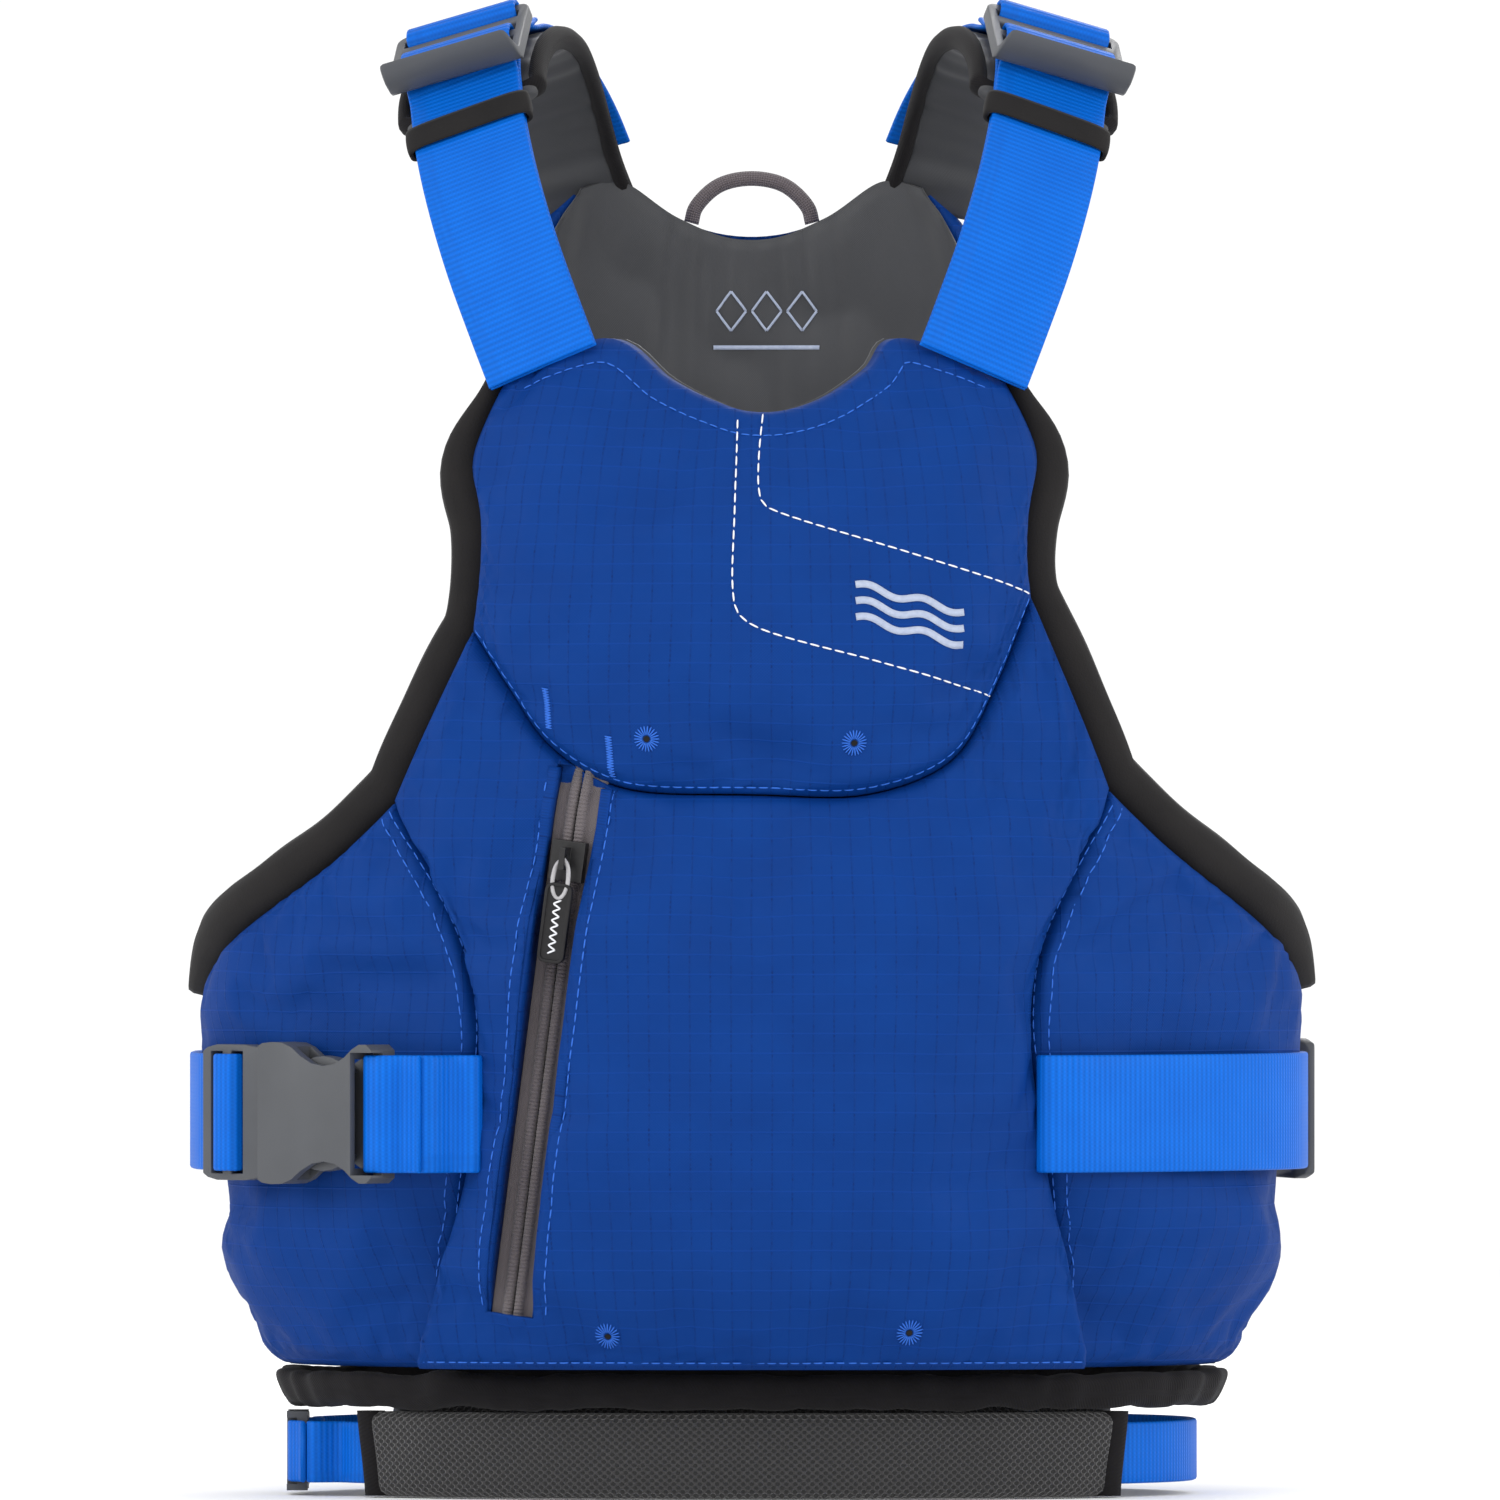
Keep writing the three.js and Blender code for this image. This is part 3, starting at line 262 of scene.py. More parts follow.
def unspread(t):
    return np.arccos(1 - 2 * np.clip(t, 0, 1)) / np.pi


def smooth(t, low=0.0, high=1.0):
    t = np.clip((t - low) / (high - low), 0, 1)
    return t * t * (3 - 2 * t)


def rumple(s, z, seed, shortest, longest, waves=26):
    """A smooth random field, about -1 to 1, over millimetres."""
    rng = np.random.default_rng(seed)
    total = np.zeros(np.broadcast(s, z).shape)
    for _ in range(waves):
        length = rng.uniform(shortest, longest)
        way = rng.uniform(0, 2 * np.pi)
        phase = rng.uniform(0, 2 * np.pi)
        total += np.sin(2 * np.pi * (s * np.cos(way) + z * np.sin(way)) / length + phase)
    return total / np.sqrt(waves)


def lengths_over(points, axis):
    steps = np.linalg.norm(np.diff(points, axis=axis), axis=-1)
    start = np.zeros([1 if k == axis else n for k, n in enumerate(points.shape[:-1])])
    return np.concatenate([start, np.cumsum(steps, axis=axis)], axis=axis)


def mesh_of(name, points, faces, uv=None, look=None, smooth_faces=True):
    """A mesh object at the origin. uv is one pair of metres for each point."""
    data = bpy.data.meshes.new(name)
    data.from_pydata([tuple(p) for p in points], [], [tuple(int(i) for i in f) for f in faces])
    if uv is not None:
        layer = data.uv_layers.new(name="UVMap")
        corners = np.zeros(len(data.loops), np.int32)
        data.loops.foreach_get("vertex_index", corners)
        layer.data.foreach_set("uv", np.asarray(uv, np.float32)[corners].ravel())
    data.polygons.foreach_set("use_smooth", [smooth_faces] * len(data.polygons))
    data.update()
    made = bpy.data.objects.new(name, data)
    bpy.context.scene.collection.objects.link(made)
    if look is not None:
        data.materials.append(look)
    return made


def grid_faces(columns, rows, start=0, turned=False):
    i, j = np.meshgrid(np.arange(columns), np.arange(rows), indexing="ij")
    a = start + i * (rows + 1) + j
    faces = np.stack([a, a + rows + 1, a + rows + 2, a + 1], -1).reshape(-1, 4)
    return faces[:, ::-1] if turned else faces


def crumpled(points, held, looseness, cap):
    """Where a sheet of slack cloth, held at its seams, comes to rest: cloth simulation over 20 frames."""
    columns, rows = points.shape[0] - 1, points.shape[1] - 1
    cloth = mesh_of("slack_sheet", points.reshape(-1, 3), grid_faces(columns, rows))
    group = cloth.vertex_groups.new(name="held")
    for i in np.flatnonzero(held.ravel()):
        group.add([int(i)], 1.0, "REPLACE")
    modifier = cloth.modifiers.new("Cloth", "CLOTH")
    settings = modifier.settings
    settings.quality = 5
    settings.mass = 0.25
    settings.tension_stiffness = settings.compression_stiffness = 18
    settings.shear_stiffness = 8
    settings.bending_stiffness = 1.6
    settings.vertex_group_mass = "held"
    settings.shrink_min = -looseness
    settings.use_pressure = True
    settings.uniform_pressure_force = 1.2
    settings.effector_weights.gravity = 0
    modifier.collision_settings.use_collision = False
    modifier.point_cache.frame_start, modifier.point_cache.frame_end = 1, 20
    for frame_number in range(1, 21):
        bpy.context.scene.frame_set(frame_number)
    resting = cloth.evaluated_get(bpy.context.evaluated_depsgraph_get()).to_mesh()
    after = np.zeros(len(resting.vertices) * 3)
    resting.vertices.foreach_get("co", after)
    bpy.data.objects.remove(cloth)
    bpy.context.scene.frame_set(1)
    moved = after.reshape(points.shape) - points
    far = np.linalg.norm(moved, axis=-1, keepdims=True)
    return moved * np.minimum(1, cap / np.maximum(far, 1e-9))


surfaces = {}


def remember(name, points, faces):
    surfaces[name] = BVHTree.FromPolygons([tuple(p) for p in points], [tuple(map(int, f)) for f in faces])


def panel(name, sheet, outer, step=3.0, inner=1.8, drop=5.5, roll=9.0, seed=1, looseness=0.022, cap=0.0035,
          strapped=None, pucker=0.5, look=None):
    """A stuffed panel: its cloth follows the sheet at a distance out, rolls in at its seams and is closed behind."""
    ends = np.linspace(0, 1, 121)
    half = np.full(121, 0.5)
    width = lengths_over(on_form(*np.moveaxis(sheet(ends, half), -1, 0), SEAM_DEPTH), 0)[-1]
    height = lengths_over(on_form(*np.moveaxis(sheet(half, ends), -1, 0), SEAM_DEPTH), 0)[-1]
    columns, rows = int(round(width / step)), int(round(height / step))
    u, v = np.meshgrid(np.linspace(0, 1, columns + 1), np.linspace(0, 1, rows + 1), indexing="ij")
    u = u - 0.07 * np.sin(2 * np.pi * u)
    v = spread(v)
    angle, z = np.moveaxis(sheet(u, v), -1, 0)
    flat = np.stack([round_length(angle), z], -1)
    for _ in range(120):
        flat[1:-1, 1:-1] = (flat[:-2, 1:-1] + flat[2:, 1:-1] + flat[1:-1, :-2] + flat[1:-1, 2:]) / 4
    inset = 0.3
    for edge, inward in ((np.s_[0], np.s_[1]), (np.s_[-1], np.s_[-2]), (np.s_[:, 0], np.s_[:, 1]),
                         (np.s_[:, -1], np.s_[:, -2])):
        way = flat[inward] - flat[edge]
        flat[edge] += inset * way / np.linalg.norm(way, axis=-1, keepdims=True)
    angle, z = angle_of(flat[..., 0]), flat[..., 1]
    flat = on_form(angle, z, SEAM_DEPTH)
    across, up = lengths_over(flat, 0), lengths_over(flat, 1)
    from_edge = np.minimum(np.minimum(across, across[-1:] - across), np.minimum(up, up[:, -1:] - up))
    along_edge = np.where(np.minimum(across, across[-1:] - across) < np.minimum(up, up[:, -1:] - up), up, across)
    s = round_length(angle)
    rolled = 1 - np.sqrt(1 - (1 - np.clip(from_edge / roll, 0, 1)) ** 2)
    out = outer(u, v) - drop * rolled
    gather = np.sin(2 * np.pi * along_edge / 7.5 + 2.2 * rumple(s, z, seed + 50, 30, 90))
    depth = np.exp(-np.maximum(from_edge - 3, 0) / 6) * smooth(from_edge, 0, 3)
    gathered = np.clip(rumple(s, z, seed + 70, 35, 120) + 0.3, 0, 1.5)
    out = out + pucker * gather * depth * gathered
    free = smooth(from_edge, 3, 22)
    out = out + free * (0.55 * rumple(s, z, seed, 26, 70) + 0.35 * rumple(s, z, seed + 9, 12, 28))
    points = metres(on_form(angle, z, out))
    moved = crumpled(points, from_edge < 3.5, looseness, cap)
    slack = np.ones_like(z) if strapped is None else strapped(angle, z)
    points = points + moved * slack[..., None]
    behind = metres(on_form(angle, z, inner))
    n = points[..., 0].size
    faces = np.concatenate([grid_faces(columns, rows), grid_faces(columns, rows, n, True)])
    rim = rim_of(columns, rows)
    walls = np.stack([rim, np.roll(rim, -1), np.roll(rim, -1) + n, rim + n], -1)[:, ::-1]
    faces = np.concatenate([faces, walls])
    uv = np.stack([s, z], -1).reshape(-1, 2) / 1000
    made = mesh_of(name, np.concatenate([points.reshape(-1, 3), behind.reshape(-1, 3)]), faces,
                   np.concatenate([uv, uv]), look or ripstop)
    remember(name, points.reshape(-1, 3), grid_faces(columns, rows))
    return made


def rim_of(columns, rows):
    """The grid's border points, in order, against the clock as seen from outside."""
    at = lambda i, j: i * (rows + 1) + j
    return np.array([at(i, 0) for i in range(columns)] + [at(columns, j) for j in range(rows)]
                    + [at(i, rows) for i in range(columns, 0, -1)] + [at(0, j) for j in range(rows, 0, -1)])


ripstop, tree, shader = finish_named("coated_ripstop_nylon", 0.62, Specular_IOR_Level=0.1)
place = add(tree, "TexCoord").outputs["UV"]
squares = add(tree, "Mapping", {"Vector": place, "Scale": [1000 / RIPSTOP_SQUARE] * 3})
square = add(tree, "SeparateXYZ", {"Vector": squares})
column = add(tree, "Math", {0: square.outputs["X"], 1: 0.5}, operation="PINGPONG")
row = add(tree, "Math", {0: square.outputs["Y"], 1: 0.5}, operation="PINGPONG")
column = add(tree, "MapRange", {"Value": column, "From Max": 0.07, "To Min": 1.0, "To Max": 0.0},
             interpolation_type="SMOOTHSTEP")
row = add(tree, "MapRange", {"Value": row, "From Max": 0.07, "To Min": 1.0, "To Max": 0.0},
          interpolation_type="SMOOTHSTEP")
dot_place = add(tree, "Math", {0: square.outputs["Y"], 1: 4.0}, operation="MULTIPLY")
dots = add(tree, "Math", {0: dot_place, 1: 0.5}, operation="PINGPONG")
dots = add(tree, "MapRange", {"Value": dots, "From Min": 0.1, "From Max": 0.32})
dark = add(tree, "Math", {0: column, 1: dots}, operation="MULTIPLY")
cloudy = add(tree, "TexNoise", {"Vector": place, "Scale": 38.0, "Detail": 4.0})
uneven = add(tree, "TexNoise", {"Vector": place, "Scale": 420.0, "Detail": 2.0})
cloth = add(tree, "MixRGB", {"Fac": cloudy, "Color1": linear(RIPSTOP_BLUE), "Color2": linear(RIPSTOP_DEEP)})
fading = add(tree, "MapRange", {"Value": uneven, "From Min": 0.35, "From Max": 0.7, "To Max": 0.75})
dark = add(tree, "Math", {0: dark, 1: fading}, operation="MULTIPLY")
pale = add(tree, "Math", {0: row, 1: 0.16}, operation="MULTIPLY")
cloth = add(tree, "MixRGB", {"Fac": pale, "Color1": cloth, "Color2": linear(RIPSTOP_PALE_THREAD)})
cloth = add(tree, "MixRGB", {"Fac": dark, "Color1": cloth, "Color2": linear(RIPSTOP_DARK_THREAD)})
woven = weave(tree, place, (WEAVE, WEAVE))
shade = add(tree, "MapRange", {"Value": woven, "From Min": -1.0, "To Min": 0.86, "To Max": 1.1})
cloth = add(tree, "MixRGB", {"Fac": 1.0, "Color1": cloth, "Color2": shade}, blend_type="MULTIPLY")
tree.links.new(cloth.outputs[0], shader.inputs["Base Color"])
relief = add(tree, "Math", {0: woven, 1: 0.12}, operation="MULTIPLY")
relief = add(tree, "Math", {0: row, 1: relief}, operation="ADD")
relief = add(tree, "Math", {0: column, 1: relief}, operation="ADD")
emboss(tree, shader, relief, 0.5, 0.00022)
rough = add(tree, "MapRange", {"Value": uneven, "To Min": 0.55, "To Max": 0.72})
tree.links.new(rough.outputs[0], shader.inputs["Roughness"])

chest_seam = [[-92, 281], [-80, 262], [-66, 243], [-42, 230], [0, 228], [38, 228], [66, 239], [80, 262],
              [92, 292]]
wing_seams = {
    "right": [[-110, HEM], [-102, 75], [-93, 108], [-89, 134], [-88, 157], [-92, 178], [-102, 200], [-118, 226]],
    "left": [[110, HEM], [104, 75], [96, 111], [91, 140], [90, 160], [93, 180], [103, 203], [118, 230]],
}
neckline = [[-87, 364], [-52, 376], [-30, 363], [-14, 356], [4, 352], [24, 356], [42, 366], [54, 376], [89, 364]]
chest_sides = {
    "right": [[-92, 281], [-90, 300], [-91, 318], [-96, 338], [-87, 364]],
    "left": [[92, 292], [91, 305], [93, 320], [98, 340], [89, 364]],
}
curves = {
    "chest_seam": through([front(*p) for p in chest_seam]),
    "neckline": through([front(*p) for p in neckline]),
    "hem": through([front(*p) for p in [[-110, HEM], [0, HEM], [110, HEM]]]),
}
for name, ends in (("right", chest_seam[0]), ("left", chest_seam[-1])):
    curves["wing_seam_" + name] = through([front(*p) for p in wing_seams[name]])
    curves["shoulder_" + name] = through([front(*wing_seams[name][-1]), front(*ends)])
    curves["chest_side_" + name] = through([front(*p) for p in chest_sides[name]])


def front_side(name):
    seam, shoulder = curves["wing_seam_" + name], curves["shoulder_" + name]

    def at(v):
        t = unspread(v) * 10 / 8
        low, high = seam(spread(np.clip(t, 0, 1))), shoulder(np.clip((t - 1) * 4, 0, 1))
        return np.where((t <= 1)[..., None], low, high)
    return at


front_sheet = between(curves["hem"], curves["chest_seam"], front_side("right"), front_side("left"))
front_panel = panel("front_panel", front_sheet, lambda u, v: SEAM_DEPTH + CROWN * swell(u) * swell(v), seed=3,
                    drop=3.5)
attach(front_panel, "vest")


# ------------------------------------------------------------------ chest yoke
# The upper foam panel, its ripstop cover lapped over the pocket panel and topstitched once along the lap.
# Its two top corners lie over the shoulder webbing.

chest_sheet = between(curves["chest_seam"], curves["neckline"], curves["chest_side_right"],
                      curves["chest_side_left"])
chest_panel = panel("chest_panel", chest_sheet,
                    lambda u, v: SEAM_DEPTH + (15 - SEAM_DEPTH) * v * v + CROWN * swell(u) * swell(v),
                    seed=8, drop=4.0, roll=8, looseness=0.03)
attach(chest_panel, "vest")
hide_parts("chest_cover", "chest_foam")


# ------------------------------------------------------------------ side wings
# Thinner foam wings in the same ripstop wrap round the ribs. The waist webbing lies across them and
# presses a shallow channel into the foam, and their outer edge is free above the mesh.

SIDE_ANGLE = 86
WING_EDGE = 17
wing_tops = {
    "right": [*(front(*p) for p in [[-118, 226], [-139, 208], [-160, 194]]), [-72, 178], [-SIDE_ANGLE, 162]],
    "left": [*(front(*p) for p in [[118, 230], [139, 212], [160, 197]]), [72, 180], [SIDE_ANGLE, 164]],
}
hem_right, hem_left = front(-110, HEM), front(110, HEM)


def backwards(curve):
    return lambda t: curve(1 - np.asarray(t, float))


def wing_outer(left):
    def at(u, v):
        to_edge = u if left else 1 - u
        taper = 0.45 + 0.55 * smooth(v, 0, 0.35)
        dent = 5.5 * np.exp(-(((v - 0.5) / 0.22) ** 2)) * smooth(to_edge, 0, 0.4)
        return ((SEAM_DEPTH + (WING_EDGE - SEAM_DEPTH) * to_edge) * taper + 3 * swell(u) * swell(v) - dent)
    return at


def under_waist_strap(angle, z):
    return 0.15 + 0.85 * smooth(np.abs(z - 125), 20, 40)


for name, edge_top in (("right", 162), ("left", 164)):
    side = -1 if name == "right" else 1
    top = through(wing_tops[name])
    curves["wing_top_" + name] = top
    edge = through([[side * SIDE_ANGLE, HEM], [side * SIDE_ANGLE, 100], [side * SIDE_ANGLE, edge_top]])
    if side < 0:
        sheet = between(through([[-SIDE_ANGLE, HEM], [-60, HEM], hem_right]), backwards(top), edge,
                        curves["wing_seam_right"])
    else:
        sheet = between(through([hem_left, [60, HEM], [SIDE_ANGLE, HEM]]), top, curves["wing_seam_left"], edge)
    wing = panel("wing_panel_" + name, sheet, wing_outer(side > 0), seed=20 + side, looseness=0.03,
                 strapped=under_waist_strap, roll=8)
    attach(wing, "vest")
    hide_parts("wing_cover_" + name, "wing_foam_" + name)


# ------------------------------------------------------------------ back panels
# Two foam panels in ripstop, a wide one at the waist and a yoke above it that narrows to the shoulders.

BACK_ANGLE = 118
back_seam = [[115, 232], [50, 226], [0, 225], [-50, 226], [-115, 232]]
back_top = [[66, 428], [50, 430], [28, 418], [0, 411], [-28, 418], [-50, 430], [-66, 428]]
back_side = [[115, 232], [100, 280], [92, 340], [84, 400], [66, 428]]
curves["back_seam"] = through([back(*p) for p in back_seam])
curves["back_top"] = through([back(*p) for p in back_top])
back_hem = through([[BACK_ANGLE, HEM], [180, HEM], [360 - BACK_ANGLE, HEM]])
lower_sheet = between(
    back_hem, curves["back_seam"],
    through([[BACK_ANGLE, HEM], [BACK_ANGLE, 80], [BACK_ANGLE, 120], [BACK_ANGLE + 3, 150], back(130, 190),
             back(115, 232)]),
    through([[360 - BACK_ANGLE, HEM], [360 - BACK_ANGLE, 80], [360 - BACK_ANGLE, 120], [357 - BACK_ANGLE, 150],
             back(-130, 190), back(-115, 232)]))
upper_sheet = between(curves["back_seam"], curves["back_top"], through([back(*p) for p in back_side]),
                      through([back(-x, z) for x, z in back_side]))
for name, sheet, outer in [
    ("lower", lower_sheet, lambda u, v: 21.5 + 9 * swell(u) * swell(v)),
    ("upper", upper_sheet, lambda u, v: 21.5 + (12 - 21.5) * v * v + 9 * swell(u) * swell(v)),
]:
    back_panel = panel("back_panel_" + name, sheet, outer, seed=40 + len(name), drop=5, strapped=under_waist_strap)
    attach(back_panel, "vest")
    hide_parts("back_cover_" + name, "back_foam_" + name)


# ------------------------------------------------------------------ linings
# Plain-woven nylon, dark grey and faintly glossy, sewn in along every edge. It is gathered round the back
# neckline, so soft creases run down from there. The sheets are stretched over the foam.

LINING_GREY = "#3c3d40"
LINING_SHADE = "#313235"
lining, tree, shader = finish_named("plain_woven_nylon_lining", 0.5, Sheen_Weight=0.15, Sheen_Roughness=0.4)
place = add(tree, "TexCoord").outputs["UV"]
cloudy = add(tree, "TexNoise", {"Vector": place, "Scale": 30.0, "Detail": 4.0})
cloth = add(tree, "MixRGB", {"Fac": cloudy, "Color1": linear(LINING_GREY), "Color2": linear(LINING_SHADE)})
tree.links.new(cloth.outputs[0], shader.inputs["Base Color"])
woven = weave(tree, place, (0.8, 0.8))
emboss(tree, shader, woven, 0.25, 0.0001)


def layer(name, sheet, from_out, to_out, step, creases, look):
    """A closed cloth of even thickness on a sheet; creases(u, v, s, z) is added to its distance out, mm."""
    ends, half = np.linspace(0, 1, 121), np.full(121, 0.5)
    width = lengths_over(on_form(*np.moveaxis(sheet(ends, half), -1, 0), to_out), 0)[-1]
    height = lengths_over(on_form(*np.moveaxis(sheet(half, ends), -1, 0), to_out), 0)[-1]
    columns, rows = max(2, int(round(width / step))), max(2, int(round(height / step)))
    u, v = np.meshgrid(np.linspace(0, 1, columns + 1), np.linspace(0, 1, rows + 1), indexing="ij")
    angle, z = np.moveaxis(sheet(u, v), -1, 0)
    s = round_length(angle)
    lift = creases(u, v, s, z)
    outer = metres(on_form(angle, z, to_out + lift))
    inner = metres(on_form(angle, z, from_out + lift))
    n = u.size
    rim = rim_of(columns, rows)
    walls = np.stack([rim, np.roll(rim, -1), np.roll(rim, -1) + n, rim + n], -1)[:, ::-1]
    faces = np.concatenate([grid_faces(columns, rows), grid_faces(columns, rows, n, True), walls])
    uv = np.stack([s, z], -1).reshape(-1, 2) / 1000
    made = mesh_of(name, np.concatenate([outer.reshape(-1, 3), inner.reshape(-1, 3)]), faces,
                   np.concatenate([uv, uv]), look)
    remember(name, inner.reshape(-1, 3), grid_faces(columns, rows, 0, True))
    area = sum(f.area for f in made.data.polygons) / 2
    return made, area


def back_creases(u, v, s, z):
    lean = (u - 0.5) * (1 + 1.6 * (1 - v))
    rays = np.sin(34 * lean + 3 * np.sin(9 * lean)) * smooth(v, 0.55, 0.95) * smooth(1 - v, 0.0, 0.04)
    sag = rumple(s, z, 61, 30, 90) * smooth(v, 0.3, 0.8) * smooth(1 - v, 0, 0.08)
    return -1.0 * np.abs(rays) - 0.9 * np.abs(sag)


side_right = through([[-SIDE_ANGLE, HEM], [-SIDE_ANGLE, 100], [-SIDE_ANGLE, 160],
                      *(front(*p) for p in [[-139, 204], [-116, 228], [-95, 280], [-91, 318], [-87, 364]])])
side_left = through([[SIDE_ANGLE, HEM], [SIDE_ANGLE, 100], [SIDE_ANGLE, 162],
                     *(front(*p) for p in [[139, 208], [116, 232], [95, 290], [93, 320], [89, 364]])])
front_lining, area = layer(
    "front_lining_cloth",
    between(through([[-SIDE_ANGLE, HEM], [0, HEM], [SIDE_ANGLE, HEM]]), curves["neckline"], side_right, side_left),
    -2.5, -1.3, 5, lambda u, v, s, z: -0.4 * np.abs(rumple(s, z, 60, 30, 90)), lining)
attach(front_lining, "vest")
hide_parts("front_lining")

back_sides = [[124, 196], *back_side]
back_lining, area = layer(
    "back_lining_cloth",
    between(back_hem, curves["back_top"],
            through([[BACK_ANGLE, HEM], [BACK_ANGLE, 150], *(back(*p) for p in back_sides)]),
            through([[360 - BACK_ANGLE, HEM], [360 - BACK_ANGLE, 150], *(back(-x, z) for x, z in back_sides)])),
    -2.5, -1.3, 2.5, back_creases, lining)
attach(back_lining, "vest")
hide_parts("back_lining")


# ------------------------------------------------------------------ side mesh
# Black spacer mesh, 3 mm thick, joins the wings to the back panels under each arm. Its face is knitted
# with staggered oval holes about 3.6 by 2.4 mm apart.

MESH_GREY = "#131214"
# The darker colour in the holes is painted shade for the depth of the mesh, not a different yarn.
MESH_HOLE_PAINTED_SHADE = "#0c0c0d"
MESH_PITCH = (3.6, 2.4)
spacer, tree, shader = finish_named("knitted_spacer_mesh", 0.8, Sheen_Weight=0.25, Sheen_Roughness=0.5)
place = add(tree, "TexCoord").outputs["UV"]
size = add(tree, "Mapping", {"Vector": place, "Scale": [1000] * 3})
holes = []
for shift in (0.0, 0.5):
    moved = add(tree, "Mapping", {"Vector": size, "Location": [shift * MESH_PITCH[0], shift * MESH_PITCH[1], 0]})
    flat = add(tree, "VectorMath", {0: moved, 1: (1, 1, 0)}, operation="MULTIPLY")
    wrapped = add(tree, "VectorMath", {0: flat, 1: (MESH_PITCH[0] / 2, MESH_PITCH[1] / 2, 1),
                                       2: (-MESH_PITCH[0] / 2, -MESH_PITCH[1] / 2, -1)}, operation="WRAP")
    oval = add(tree, "VectorMath", {0: wrapped, 1: (1 / 1.15, 1 / 0.75, 0)}, operation="MULTIPLY")
    holes.append(add(tree, "VectorMath", {0: oval}, operation="LENGTH").outputs["Value"])
near = add(tree, "Math", {0: holes[0], 1: holes[1]}, operation="MINIMUM")
open_share = add(tree, "MapRange", {"Value": near, "From Min": 0.7, "From Max": 1.15, "To Min": 1.0, "To Max": 0.0},
                 interpolation_type="SMOOTHSTEP")
cloudy = add(tree, "TexNoise", {"Vector": size, "Scale": 0.8, "Detail": 3.0})
yarn = add(tree, "MixRGB", {"Fac": cloudy, "Color1": linear(MESH_GREY), "Color2": linear("#444243")})
# Inside the holes the colour goes darker: painted shade in the open knit, on top of the bump.
knit = add(tree, "MixRGB", {"Fac": open_share, "Color1": yarn, "Color2": linear(MESH_HOLE_PAINTED_SHADE)})
tree.links.new(knit.outputs[0], shader.inputs["Base Color"])
bump = add(tree, "Bump", {"Height": open_share, "Strength": 0.9, "Distance": 0.0006}, invert=True)
tree.links.new(bump.outputs[0], shader.inputs["Normal"])

for name, side in (("right", -1), ("left", 1)):
    ends = sorted([side * (SIDE_ANGLE - 0.5), side * BACK_ANGLE])
    sheet = lambda u, v, a=ends[0], b=ends[1]: np.stack([a + (b - a) * u, HEM + (148 - HEM) * v], -1)
    gusset, _ = layer("side_gusset_" + name, sheet, 0.0, 3.0, 3.0,
                      lambda u, v, s, z: 0.5 * rumple(s, z, 66, 25, 60), spacer)
    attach(gusset, "vest")
    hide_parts("side_mesh_" + name)


# ------------------------------------------------------------------ armhole edging
# Soft black neoprene faced with jersey edges each armhole. It rolls round the foam's free edge, so it shows
# as a smooth dark band outside the panels from the chest's corner down to the side.

NEOPRENE_BLACK = "#151415"
neoprene, tree, shader = finish_named("jersey_faced_neoprene", 0.8, Sheen_Weight=0.05, Specular_IOR_Level=0.15)
place = add(tree, "TexCoord").outputs["Object"]
cloudy = add(tree, "TexNoise", {"Vector": place, "Scale": 60.0, "Detail": 4.0})
fine = add(tree, "TexNoise", {"Vector": place, "Scale": 1400.0, "Detail": 2.0})
cloth = add(tree, "MixRGB", {"Fac": cloudy, "Color1": linear(NEOPRENE_BLACK), "Color2": linear("#201e1e")})
tree.links.new(cloth.outputs[0], shader.inputs["Base Color"])
emboss(tree, shader, fine, 0.35, 0.0003)


def tube(name, rings, uv_rings=None, look=None, closed=False):
    """A skin over rings of points, (stations, corners, 3); its ends are capped unless it closes on itself."""
    stations, corners = rings.shape[:2]
    i, j = np.meshgrid(np.arange(stations if closed else stations - 1), np.arange(corners), indexing="ij")
    a, b = i * corners + j, i * corners + (j + 1) % corners
    c, d = ((i + 1) % stations) * corners + (j + 1) % corners, ((i + 1) % stations) * corners + j
    faces = [tuple(f) for f in np.stack([a, b, c, d], -1).reshape(-1, 4)]
    if not closed:
        faces += [tuple(range(corners))[::-1], tuple(range((stations - 1) * corners, stations * corners))]
    made = mesh_of(name, rings.reshape(-1, 3), faces, None if uv_rings is None else uv_rings.reshape(-1, 2), look)
    shell = bmesh.new()
    shell.from_mesh(made.data)
    bmesh.ops.recalc_face_normals(shell, faces=shell.faces)
    if shell.calc_volume(signed=True) < 0:
        bmesh.ops.reverse_faces(shell, faces=shell.faces)
    shell.to_mesh(made.data)
    shell.free()
    return made


